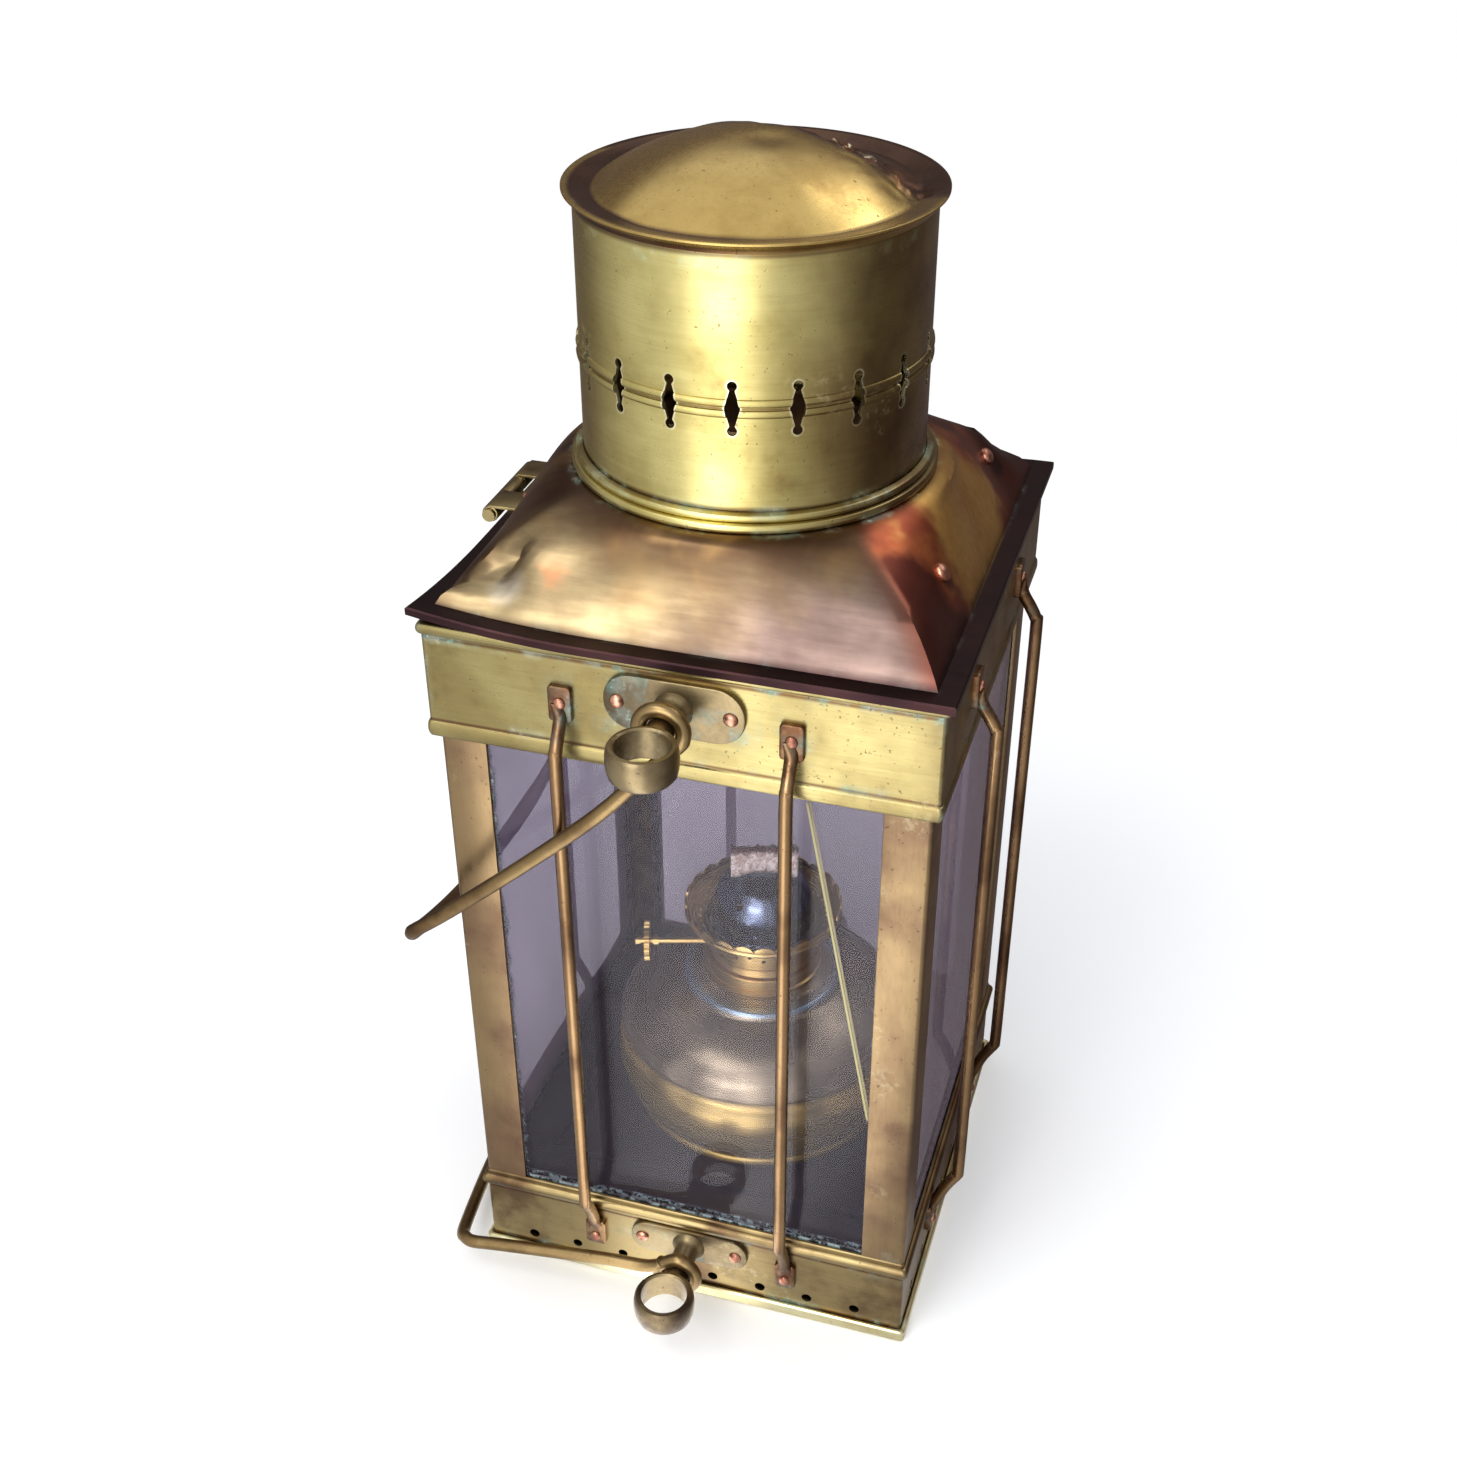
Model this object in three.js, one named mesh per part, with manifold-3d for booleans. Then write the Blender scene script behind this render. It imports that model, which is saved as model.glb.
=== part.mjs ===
// A brass ship's lantern: a square glazed case on a vented base, a hinged roof that carries the chimney,
// two wire bails on riveted guide brackets, eight guard rods, and an oil font with a flat-wick burner.
// Millimetres, +Z up, origin in the middle of the underside, the front faces -Y.

import * as THREE from 'three';
import { mergeVertices } from 'three/addons/utils/BufferGeometryUtils.js';
import { ParametricGeometry } from 'three/addons/geometries/ParametricGeometry.js';
import Module from 'manifold-3d';

const wasm = await Module();
wasm.setup();

// Clearance between neighbouring pieces that stay separate solids.
const gap = 0.3;
const sheet = 1.2;

// Case: four corner posts between a base band and a top band. A half is measured from the axis.
const postHalf = 82.8;
const postWidth = 16;
const postLength = 206;
const baseHalf = postHalf + gap;
const baseHeight = 40;
const panRim = 5;
const panHalf = baseHalf + gap + 1.6;
const bandHeight = 42.5;
const bandFold = 3;
const bandHalf = postHalf + gap + 0.9 + sheet;
const postTop = baseHeight + postLength;
const bandBottom = postTop - bandFold;
const bandTop = bandBottom + bandHeight;
const topBeadProud = 1.3;
const topBeadHeight = 4.1;
const lowBeadProud = 0.8;
const lowBeadHeight = 5.8;
const baseBeadProud = 1.7;
const baseBeadHeight = 5;
const baseBeadDrop = 2;

// Air holes round the base band.
const ventDiameter = 4;
const ventPitch = 18.5;
const ventsPerSide = 8;
const ventHeight = 10;

// Glazing, deck and tray.
const paneThickness = 2.6;
const paneOuter = postHalf - sheet - gap;
const paneInner = paneOuter - paneThickness;
const angleLeg = 8;
const angleSheet = 0.8;
const deckDrop = 3.4;
const deckTop = baseHeight - deckDrop;
const deckHalf = baseHalf - sheet - gap;
const ledgeWidth = 9.7;
const trayHalf = 63;
const traySheet = 1;
const trayRim = 3.2;

// Guard rods, two on each side, with a flattened tab at each end.
const rodDiameter = 4.5;
const rodRadius = rodDiameter / 2;
const rodOffset = 93.5;
const rodSpacing = 38;
const kinkBeyond = 6;
const tabWidth = 8;
const tabLength = 13;
const tabThickness = 2;
const upperTabDrop = 14.5;
const lowerTabHeight = 15;
const rivetRadius = 2.3;
const rivetHeight = 1.3;

// Guide brackets, an upper and a lower one on the front and on the back.
const upperPivotDrop = 16;
const lowerPivotHeight = 25.4;
const plateLength = 46.4;
const plateThickness = 2;
const upperPlateHeight = 20;
const lowerPlateHeight = 15;
const plateRivetInset = 4.6;
const neckDiameter = 9;
const ringReach = 30.4;
const ringOuter = 22.7;
const ringBore = 17;
const ringHeight = 11;

// Wire bails, one on the upper necks and one on the lower necks.
const wireDiameter = 5;
const wireRadius = wireDiameter / 2;
const eyeRadius = neckDiameter / 2 + gap + wireRadius;
const bailClearance = 0.5;
const bailPlane = rodOffset + rodRadius + bailClearance + wireRadius;
const bailCorner = 5;
const upperBail = { leg: 141, arch: 18.4, legBow: 8.5, archBow: 12, grip: 45 };
const lowerBail = { leg: postHalf + 7.2, arch: 13.2, legBow: -2, archBow: 10.5, grip: 0 };
const gripWidth = 7.5;

// Roof: a pressed square-to-round hood that opens with the chimney on it.
const lidClearance = 0.5;
const hoodSheet = 1;
const eaveHalf = bandHalf + topBeadProud + lidClearance + hoodSheet;
const eaveLip = 5;
const eaveFlange = 7;
const eaveTop = bandTop + lidClearance + hoodSheet;
const hoodRise = 31;
const hoodTop = eaveTop + hoodRise;

// Chimney with its foot ring and cap.
const chimneyRadius = 56.3;
const shoulderRadius = chimneyRadius + 4.2;
const shoulderBore = chimneyRadius - 3.3;
const chimneySheet = 1;
const chimneyHeight = 86;
const chimneyTop = hoodTop + chimneyHeight;
const slotCount = 18;
const slotPhase = 9.7;
const slotHeight = 39.3;
const slotHalfOutline = [[2.45, 0], [0.9, 5.6], [1.55, 7.3]];
const slotTip = 8.65;
const swageProud = 0.9;
const footRingHeight = 6;
const footRingProud = 3.4;
const capRim = 59.5;
const capRimRise = 4;
const capSaucer = 50.5;
const capSaucerRise = 2.4;
const capRise = 19;
const capSheet = 1.2;
const baffleBore = 30;
const baffleRise = 16;
const baffleHeight = 58;

// Hinge on the left eave.
const hingeY = 12;
const knuckleLength = 13;
const knuckleRadius = 3;
const pinRadius = 1.2;
const hingeOut = 6.5;
const hingeX = -(eaveHalf + hingeOut);
const hingeZ = eaveTop - 2.5;
const leafSheet = 1;
const leafReach = 7;
const strapDrop = 22;

// Spring strap riveted inside the right slope of the hood, from one rivet to the other, in degrees.
const springFrom = -27.5;
const springTo = 38;
const springLevel = 0.38;
const springHeight = 8;
const springSheet = 0.8;
const springSag = 6;

// Oil font and burner, standing in the tray a little off the axis.
const fontX = 4;
const fontWall = 1.2;
const fontFoot = deckTop + traySheet + gap;
const fontBelly = 24;
const fontBore = 20;
const fontHeight = 62.3;
const fontOutline = [
  [49.4, 0], [50.8, 0], [51.6, 1.8], [50.4, 3.4], [54.4, 9.5], [57, 16.5], [58, fontBelly], [57.2, 32],
  [55.9, 37], [56.3, 39.4], [52.6, 46.2], [45.5, 51.8], [36.5, 56], [31.2, 58.3], [30.4, 60], [25.5, 61.6],
  [24, fontHeight],
];
const collarOuter = 23;
const collarHeight = 7.8;
const burnerRadius = 21;
const burnerHeight = 12;
const burnerWall = 2;
const galleryRadius = 30.6;
const galleryRise = 10;
const galleryLedge = 3.5;
const ledgeSheet = 1.2;
const galleryScallops = 24;
const scallopDepth = 0.8;
const domeRadius = 19.5;
const domeSkirt = 7.5;
const domeRise = 19;
const domeSheet = 0.8;
const wickWidth = 25;
const wickThickness = 2.6;
const wickTop = 156;
const wickLength = 96;
const wickTurn = 17;
const tubeWall = 0.8;
const tubeTopDrop = 18;
const tubeLength = 50;
const shaftRadius = 1.2;
const shaftReach = 48;
const shaftInner = 12;
const feedWheelRadius = 4.4;
const feedWheelWidth = 2.4;
const feedWheelSpacing = 7;
const thumbWheelRadius = 7.75;
const thumbWheelTeeth = 18;
const thumbWheelWidth = 2;
const thumbWheelPlace = 44;

const collarBottom = fontFoot + fontHeight;
const burnerBottom = collarBottom + collarHeight;
const burnerTop = burnerBottom + burnerHeight;
const shaftHeight = burnerBottom + burnerHeight / 2 + 1;
const tubeHalfWidth = wickWidth / 2 + gap + tubeWall;
const tubeHalfThick = wickThickness / 2 + gap + tubeWall;
const shaftOffset = -(wickThickness / 2 + gap + feedWheelRadius);

const metal = (color, roughness) => new THREE.MeshStandardMaterial({ color, roughness, metalness: 1 });
const brass = metal(0xb29a5e, 0.35);
const roseBrass = metal(0xa37f68, 0.4);
const brownBrass = metal(0x7c6450, 0.4);
const darkTin = metal(0x3b3844, 0.5);
const burnerBrass = metal(0xc2a868, 0.35);
const blueSteel = metal(0x5d6b78, 0.3);
const springBrass = metal(0x9c8450, 0.4);
const glass = new THREE.MeshStandardMaterial({ color: 0xd8d2de, roughness: 0.05, transparent: true, opacity: 0.3 });
const cotton = new THREE.MeshStandardMaterial({ color: 0xe6dccb, roughness: 0.95 });

// ---- Helpers -------------------------------------------------------------------------------------------

// A piece turned about Z from a profile of [radius, height], counter-clockwise, closed or ending on the axis.
function turned(profile, segments, start = 0) {
  const points = profile.map(([radius, height]) => new THREE.Vector2(radius, height));
  return new THREE.LatheGeometry(points, segments, start).rotateX(Math.PI / 2);
}

// A piece that is square in plan: the profile gives its half width at each height.
function squareTurned(profile) {
  const onDiagonal = profile.map(([half, height]) => [half * Math.SQRT2, height]);
  return turned(onDiagonal, 4, Math.PI / 4);
}

const closedLoop = (profile) => [...profile, profile[0]];

// Points of a rolled bead that stands proud of a wall between two heights.
function bead(half, proud, low, high, steps = 4) {
  const middle = (low + high) / 2;
  const points = [];
  for (let i = 0; i <= steps; i++) {
    const angle = Math.PI * i / steps;
    points.push([half + proud * Math.sin(angle), middle - (high - low) / 2 * Math.cos(angle)]);
  }
  return points;
}

function block(x0, x1, y0, y1, z0, z1) {
  const box = new THREE.BoxGeometry(x1 - x0, y1 - y0, z1 - z0);
  return box.translate((x0 + x1) / 2, (y0 + y1) / 2, (z0 + z1) / 2);
}

// A flat outline of [x, y] points, pulled up along Z.
function slab(outline, depth) {
  const shape = new THREE.Shape(outline.map(([x, y]) => new THREE.Vector2(x, y)));
  return new THREE.ExtrudeGeometry(shape, { depth, bevelEnabled: false });
}

const rod = (radius, length, sides = 16) => new THREE.CylinderGeometry(radius, radius, length, sides);

// A rivet head standing on the plane y = 0 and pointing to -Y.
function rivetHead() {
  const dome = new THREE.SphereGeometry(rivetRadius, 6, 4);
  return dome.scale(1, rivetHeight / rivetRadius, 1);
}

// A curve that is followed point by point, so a straight run takes one step.
class BentWire extends THREE.CatmullRomCurve3 {
  getPointAt(u, target) {
    return this.getPoint(u, target);
  }

  getTangentAt(u, target) {
    return this.getTangent(u, target);
  }
}

function bent(points, radius, sides) {
  const path = new BentWire(points.map(([x, y, z]) => new THREE.Vector3(x, y, z)));
  const section = new THREE.Shape().absarc(0, 0, radius, 0, 2 * Math.PI);
  const steps = points.length - 1;
  return new THREE.ExtrudeGeometry(section, { extrudePath: path, steps, curveSegments: sides });
}

function solid(geometry) {
  const bare = new THREE.BufferGeometry();
  bare.setAttribute('position', geometry.getAttribute('position'));
  bare.setIndex(geometry.index);
  const merged = mergeVertices(bare, 1e-3);
  const triVerts = new Uint32Array(merged.index.array);
  return new wasm.Manifold(new wasm.Mesh({ numProp: 3, vertProperties: merged.attributes.position.array, triVerts }));
}

function geometryOf(manifold) {
  const mesh = manifold.getMesh();
  const geometry = new THREE.BufferGeometry();
  geometry.setAttribute('position', new THREE.BufferAttribute(mesh.vertProperties, 3));
  geometry.setIndex(new THREE.BufferAttribute(mesh.triVerts, 1));
  geometry.computeVertexNormals();
  return geometry;
}

function joined(...parts) {
  const whole = parts.map(solid).reduce((sum, part) => sum.add(part));
  return geometryOf(whole);
}

function cut(body, ...tools) {
  const rest = tools.map(solid).reduce((left, tool) => left.subtract(tool), solid(body));
  return geometryOf(rest);
}

const lantern = new THREE.Group();

function place(name, geometry, material, group = lantern) {
  const mesh = new THREE.Mesh(geometry, material);
  mesh.name = name;
  group.add(mesh);
  return mesh;
}

const quarter = Math.PI / 2;
const degrees = Math.PI / 180;
const turnedSides = 24;
const chimneySides = 2 * slotCount;

// ---- Case ----------------------------------------------------------------------------------------------

function basePan() {
  const rimInner = baseHalf + gap;
  return squareTurned([[0, 0], [panHalf, 0], [panHalf, panRim], [rimInner, panRim], [rimInner, sheet], [0, sheet]]);
}

function baseBand() {
  const beadTop = baseHeight - baseBeadDrop;
  const wall = squareTurned(closedLoop([
    [baseHalf - sheet, sheet], [baseHalf, sheet],
    ...bead(baseHalf, baseBeadProud, beadTop - baseBeadHeight, beadTop),
    [baseHalf, baseHeight], [baseHalf - sheet, baseHeight],
  ]));
  const holes = [];
  for (let i = 0; i < ventsPerSide; i++) {
    const place = (i - (ventsPerSide - 1) / 2) * ventPitch;
    holes.push(rod(ventDiameter / 2, 3 * baseHalf, 6).translate(place, 0, ventHeight));
    holes.push(rod(ventDiameter / 2, 3 * baseHalf, 6).rotateZ(quarter).translate(0, place, ventHeight));
  }
  return cut(wall, ...holes);
}

function topBand() {
  const fold = postHalf + gap;
  return squareTurned(closedLoop([
    [fold, bandBottom],
    ...bead(bandHalf, lowBeadProud, bandBottom, bandBottom + lowBeadHeight),
    ...bead(bandHalf, topBeadProud, bandTop - topBeadHeight, bandTop),
    [bandHalf - sheet, bandTop], [bandHalf - sheet, postTop], [fold, postTop],
  ]));
}

// A sheet angle in the +X +Y corner, with its outer faces at half.
function angle(half, leg, wall, low, high) {
  const outline = [
    [half, half], [half - leg, half], [half - leg, half - wall],
    [half - wall, half - wall], [half - wall, half - leg], [half, half - leg],
  ];
  return slab(outline, high - low).translate(0, 0, low);
}

function glazingLedge() {
  const outer = bandHalf - sheet - gap;
  const low = postTop + gap;
  return squareTurned(closedLoop([
    [outer - ledgeWidth, low], [outer, low], [outer, low + traySheet], [outer - ledgeWidth, low + traySheet],
  ]));
}

function fontTray() {
  const floor = deckTop + traySheet;
  const rim = deckTop + trayRim;
  const inner = trayHalf - traySheet;
  return squareTurned([[0, deckTop], [trayHalf, deckTop], [trayHalf, rim], [inner, rim], [inner, floor], [0, floor]]);
}

place('base_pan', basePan(), brownBrass);
place('base_band', baseBand(), brass);
place('deck', block(-deckHalf, deckHalf, -deckHalf, deckHalf, deckTop - sheet, deckTop), darkTin);
place('font_tray', fontTray(), darkTin);
place('top_band', topBand(), brass);
place('glazing_ledge', glazingLedge(), brownBrass);

const glassBottom = deckTop + gap;
['back_right', 'back_left', 'front_left', 'front_right'].forEach((corner, turn) => {
  const post = angle(postHalf, postWidth, sheet, baseHeight, postTop);
  place('post_' + corner, post, roseBrass).rotation.z = turn * quarter;
  const inner = angle(paneInner - gap, angleLeg, angleSheet, glassBottom, postTop);
  place('glazing_angle_' + corner, inner, brownBrass).rotation.z = turn * quarter;
});

const sidePaneEnd = paneInner - gap;
place('pane_front', block(-paneOuter, paneOuter, -paneOuter, -paneInner, glassBottom, postTop), glass);
place('pane_back', block(-paneOuter, paneOuter, paneInner, paneOuter, glassBottom, postTop), glass);
place('pane_left', block(-paneOuter, -paneInner, -sidePaneEnd, sidePaneEnd, glassBottom, postTop), glass);
place('pane_right', block(paneInner, paneOuter, -sidePaneEnd, sidePaneEnd, glassBottom, postTop), glass);

// ---- Guard rods ----------------------------------------------------------------------------------------

// One rod with its tabs and rivets, on the front at x = 0.
function guardRod() {
  const upperSeat = bandHalf + rodRadius;
  const lowerSeat = baseHalf + rodRadius;
  const tabTop = bandTop - upperTabDrop;
  const upperKink = bandBottom + kinkBeyond;
  const lowerKink = baseHeight + kinkBeyond;
  const lowerTabTop = lowerTabHeight + tabLength - 1;
  const upperOut = rodOffset - upperSeat;
  const lowerOut = rodOffset - lowerSeat;
  const route = [
    [upperSeat + 0.05, tabTop - 10], [upperSeat + 0.08 * upperOut, tabTop - tabLength],
    [upperSeat + 0.5 * upperOut, upperKink + 4.5], [upperSeat + 0.88 * upperOut, upperKink + 1],
    [rodOffset, upperKink - 2], [rodOffset, lowerKink + 2], [rodOffset - 0.08 * lowerOut, lowerKink - 1],
    [rodOffset - 0.5 * lowerOut, lowerKink - 8.6], [lowerSeat + 0.1 * lowerOut, lowerTabTop + 3.5],
    [lowerSeat + 0.05, lowerTabTop - 3],
  ];
  const wire = bent(route.map(([distance, height]) => [0, -distance, height]), rodRadius, 6);
  const halfTab = tabWidth / 2;
  const upperTab = block(-halfTab, halfTab, -bandHalf - tabThickness, -bandHalf, tabTop - tabLength, tabTop);
  const lowerTab = block(-halfTab, halfTab, -baseHalf - tabThickness, -baseHalf, lowerTabHeight, lowerTabTop);
  const upperRivet = rivetHead().translate(0, -bandHalf - tabThickness, tabTop - 6);
  const lowerRivet = rivetHead().translate(0, -baseHalf - tabThickness, lowerTabHeight + 4);
  return joined(upperTab, upperRivet, lowerTab, lowerRivet, wire);
}

['front', 'right', 'back', 'left'].forEach((side, turn) => {
  [['a', -rodSpacing], ['b', rodSpacing]].forEach(([letter, x]) => {
    const guard = guardRod().translate(x, 0, 0);
    place('guard_rod_' + side + '_' + letter, guard, roseBrass).rotation.z = turn * quarter;
  });
});

// ---- Guide brackets ------------------------------------------------------------------------------------

// A riveted plate, a neck for the bail and an upright guide ring, on a front face at distance half.
function guideBracket(half, height) {
  const plate = new THREE.Shape();
  const bend = height / 2;
  const middle = plateLength / 2 - bend;
  plate.absarc(middle, 0, bend, -quarter, quarter).absarc(-middle, 0, bend, quarter, 3 * quarter);
  const back = new THREE.ExtrudeGeometry(plate, { depth: plateThickness, bevelEnabled: false, curveSegments: 4 });
  back.rotateX(quarter).translate(0, -half, 0);
  const neckLength = ringReach - (ringOuter + ringBore) / 4;
  const neck = rod(neckDiameter / 2, neckLength, 10).translate(0, -half - neckLength / 2, 0);
  const ring = turned(closedLoop([
    [ringBore / 2, -ringHeight / 2], [ringOuter / 2 - 1, -ringHeight / 2], [ringOuter / 2, -ringHeight / 2 + 2],
    [ringOuter / 2, ringHeight / 2 - 2], [ringOuter / 2 - 1, ringHeight / 2], [ringBore / 2, ringHeight / 2],
  ]), 20).translate(0, -half - ringReach, 0);
  const rivetX = plateLength / 2 - plateRivetInset;
  const face = -half - plateThickness;
  return joined(back, neck, ring, rivetHead().translate(rivetX, face, 0), rivetHead().translate(-rivetX, face, 0));
}

const upperPivot = bandTop - upperPivotDrop;
const lowerPivot = lowerPivotHeight;
[['front', 0], ['back', Math.PI]].forEach(([side, turn]) => {
  const upper = place('upper_bracket_' + side, guideBracket(bandHalf, upperPlateHeight), brass);
  upper.position.z = upperPivot;
  upper.rotation.z = turn;
  const lower = place('lower_bracket_' + side, guideBracket(baseHalf, lowerPlateHeight), brass);
  lower.position.z = lowerPivot;
  lower.rotation.z = turn;
});

// ---- Bails ---------------------------------------------------------------------------------------------

// Place of the crossbar at a distance y from the middle, in the bail's own frame, with the legs along +Z.
function archPoint(bail, y) {
  const fall = 1 - (y / bailPlane) ** 2;
  return [-bail.archBow * fall, y, bail.leg + bail.arch * fall];
}

// A wire handle that turns about Y: an eye round each neck, bowed legs and an arched crossbar.
function wireBail(bail) {
  const leg = [0.3, 0.58, 0.84].map((share) => {
    return [-bail.legBow * Math.sin(Math.PI * Math.sqrt(share)), -bailPlane, share * bail.leg];
  });
  leg.unshift([-0.6 * eyeRadius * Math.sign(bail.legBow), -bailPlane, 0.8 * eyeRadius]);
  const turn = [[0.1, -bailPlane, bail.leg - bailCorner], [0, -bailPlane + 1.5, bail.leg - 1.5]];
  const bar = [];
  const reach = bailPlane - bailCorner;
  for (let i = 0; i <= 8; i++) bar.push(archPoint(bail, reach * (i / 4 - 1)));
  const half = [...leg, ...turn];
  const mirrored = half.map(([x, y, z]) => [x, -y, z]).reverse();
  const wire = bent([...half, ...bar, ...mirrored], wireRadius, 6);
  const eye = () => new THREE.TorusGeometry(eyeRadius, wireRadius, 6, 14).rotateX(quarter);
  const pieces = [wire, eye().translate(0, -bailPlane, 0), eye().translate(0, bailPlane, 0)];
  if (bail.grip > 0) {
    const [x, , z] = archPoint(bail, 0);
    const grip = new THREE.SphereGeometry(gripWidth / 2, 10, 6).scale(0.8, bail.grip / gripWidth, 1);
    pieces.push(grip.translate(x, 0, z));
  }
  return joined(...pieces);
}

// The angle below -X at which the crossbar's point at y comes to a given side or down distance.
function restAngle(bail, y, reach) {
  const [x, , z] = archPoint(bail, y);
  return reach(Math.hypot(x, z)) - Math.atan2(-x, z);
}

const besideRods = rodOffset + rodRadius + wireRadius + gap;
const aboveFloor = lowerPivot - wireRadius - gap;
const upperRest = restAngle(upperBail, rodSpacing, (radius) => Math.acos(besideRods / radius));
const lowerRest = restAngle(lowerBail, 0, (radius) => Math.asin(aboveFloor / radius));
[['upper_bail', upperBail, upperPivot, upperRest], ['lower_bail', lowerBail, lowerPivot, lowerRest]]
  .forEach(([name, bail, height, rest]) => {
    const mesh = place(name, wireBail(bail), roseBrass);
    mesh.position.z = height;
    mesh.rotation.y = -(quarter + rest);
  });

// ---- Roof ----------------------------------------------------------------------------------------------

// Distance from the axis of a plan outline that turns from a square to a circle as blend goes from 0 to 1.
function outlineRadius(half, blend, turn) {
  const square = half / Math.max(Math.abs(Math.cos(turn)), Math.abs(Math.sin(turn)));
  return square + (half - square) * blend;
}

// The pressed slope at a level from 0 at the flange to 1 at the shoulder: [half, height, blend].
function slopeAt(level) {
  const flangeInner = eaveHalf - eaveFlange;
  const half = flangeInner + (shoulderRadius - flangeInner) * level;
  return [half, eaveTop + hoodRise * Math.sin(quarter * level), level * level * (3 - 2 * level)];
}

function roofHood() {
  const levels = [0, 0.12, 0.28, 0.46, 0.66, 0.84, 1];
  const slope = levels.map(slopeAt);
  const under = ([half, height, blend]) => [half - 0.8 * hoodSheet, height - hoodSheet, blend];
  const lipBottom = eaveTop - eaveLip;
  const outer = [[eaveHalf, lipBottom, 0], [eaveHalf, eaveTop, 0], ...slope, [shoulderBore, hoodTop, 1]];
  const inner = [
    [shoulderBore, hoodTop - hoodSheet, 1], ...slope.map(under).reverse(),
    [eaveHalf - hoodSheet, eaveTop - hoodSheet, 0], [eaveHalf - hoodSheet, lipBottom, 0],
  ];
  const loop = [...outer, ...inner];
  const surface = (u, v, target) => {
    const [half, height, blend] = loop[Math.round(v * loop.length) % loop.length];
    const turn = 2 * Math.PI * u;
    const radius = outlineRadius(half, blend, turn);
    target.set(radius * Math.cos(turn), radius * Math.sin(turn), height);
  };
  return new ParametricGeometry(surface, 32, loop.length);
}

// One side of the slot's outline, mirrored into all four quarters.
function slotCutter() {
  const up = slotHalfOutline;
  const leftOf = up.map(([x, z]) => [-x, z]).reverse();
  const upper = [...up, [0, slotTip], ...leftOf];
  const lower = upper.slice(1, -1).map(([x, z]) => [-x, -z]);
  const depth = 4 * chimneySheet + 2 * swageProud;
  const slot = slab([...upper, ...lower], depth).rotateX(quarter);
  return slot.translate(0, -(chimneyRadius - 3 * chimneySheet), 0);
}

function chimneyTube() {
  const middle = hoodTop + slotHeight;
  const wall = turned(closedLoop([
    [chimneyRadius - chimneySheet, hoodTop], [chimneyRadius, hoodTop],
    ...bead(chimneyRadius, swageProud, middle - 3, middle - 0.2, 2),
    ...bead(chimneyRadius, swageProud, middle + 0.2, middle + 3, 2),
    [chimneyRadius, chimneyTop], [chimneyRadius - chimneySheet, chimneyTop],
  ]), chimneySides, slotPhase * degrees);
  const slots = [];
  for (let i = 0; i < slotCount; i++) {
    const turn = slotPhase * degrees + 2 * Math.PI * i / slotCount;
    slots.push(slotCutter().rotateZ(turn).translate(0, 0, middle));
  }
  return cut(wall, ...slots);
}

function chimneyRing() {
  const inner = chimneyRadius + gap;
  const outer = chimneyRadius + footRingProud;
  const middle = hoodTop + footRingHeight / 2;
  return turned(closedLoop([
    [inner, hoodTop], ...bead(outer, 0.7, hoodTop, middle, 2),
    ...bead(outer - 1.4, 0.7, middle, hoodTop + footRingHeight, 2), [inner, hoodTop + footRingHeight],
  ]), chimneySides, slotPhase * degrees);
}

// A saucer with a flared rim round a low dome, made of one sheet.
function chimneyCap() {
  const saucer = chimneyTop + capSaucerRise;
  const domeRiseLeft = capRise - capSaucerRise;
  const dome = [];
  for (let i = 0; i <= 4; i++) {
    const share = 1 - i / 4;
    dome.push([capSaucer * share, saucer + domeRiseLeft * (1 - share ** 1.7)]);
  }
  const underDome = dome.map(([radius, height]) => [Math.max(radius - capSheet / 2, 0), height - capSheet]).reverse();
  return turned([
    ...underDome, [chimneyRadius - chimneySheet, chimneyTop], [chimneyRadius + 0.2, chimneyTop],
    [capRim - 1.6, chimneyTop + capRimRise - 2], [capRim, chimneyTop + capRimRise - 0.8],
    [capRim, chimneyTop + capRimRise], [capRim - 0.8, chimneyTop + capRimRise], ...dome,
  ], turnedSides);
}

function windBaffle() {
  const outer = chimneyRadius - chimneySheet - gap;
  const foot = hoodTop + baffleHeight;
  const top = foot + baffleRise;
  return turned(closedLoop([
    [outer - 2, foot], [outer, foot], [outer, foot + 1.5], [baffleBore, top + 1.5], [baffleBore, top],
  ]), turnedSides);
}

// A bowed strap between the two rivets, standing just inside the slope.
function catchSpring() {
  const [half, height, blend] = slopeAt(springLevel);
  const inside = half - hoodSheet - gap;
  const points = [];
  for (let i = 0; i <= 8; i++) {
    const turn = (springFrom + (springTo - springFrom) * i / 8) * degrees;
    const radius = outlineRadius(inside, blend, turn);
    const sag = springSag * Math.sin(Math.PI * i / 8);
    points.push([radius * Math.cos(turn) - sag, radius * Math.sin(turn)]);
  }
  const inner = points.map(([x, y]) => [x - springSheet, y]).reverse();
  return slab([...points, ...inner], springHeight).translate(0, 0, height - hoodSheet - springHeight);
}

place('roof_hood', roofHood(), brownBrass);
place('chimney', chimneyTube(), brass);
place('chimney_ring', chimneyRing(), brass);
place('chimney_cap', chimneyCap(), brass);
place('wind_baffle', windBaffle(), brownBrass);
place('catch_spring', catchSpring(), springBrass);

// ---- Hinge ---------------------------------------------------------------------------------------------

// A knuckle along Y with its middle at y, bored for the pin.
const knuckle = (y) => rod(knuckleRadius, knuckleLength - gap, 12).translate(hingeX, y, hingeZ);
const pinBore = () => rod(pinRadius + gap, 5 * knuckleLength, 12).translate(hingeX, hingeY, hingeZ);

function lidLeaf() {
  const inner = -eaveHalf + leafReach;
  const low = eaveTop;
  const half = 1.5 * knuckleLength;
  const plate = block(-eaveHalf + 0.5, inner, hingeY - half, hingeY + half, low, low + leafSheet);
  const parts = [plate];
  for (const side of [-1, 1]) {
    const y = hingeY + side * knuckleLength;
    const reach = (knuckleLength - gap) / 2;
    parts.push(block(hingeX, -eaveHalf + 1, y - reach, y + reach, low, low + leafSheet));
    parts.push(knuckle(y));
  }
  return cut(joined(...parts), pinBore());
}

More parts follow.
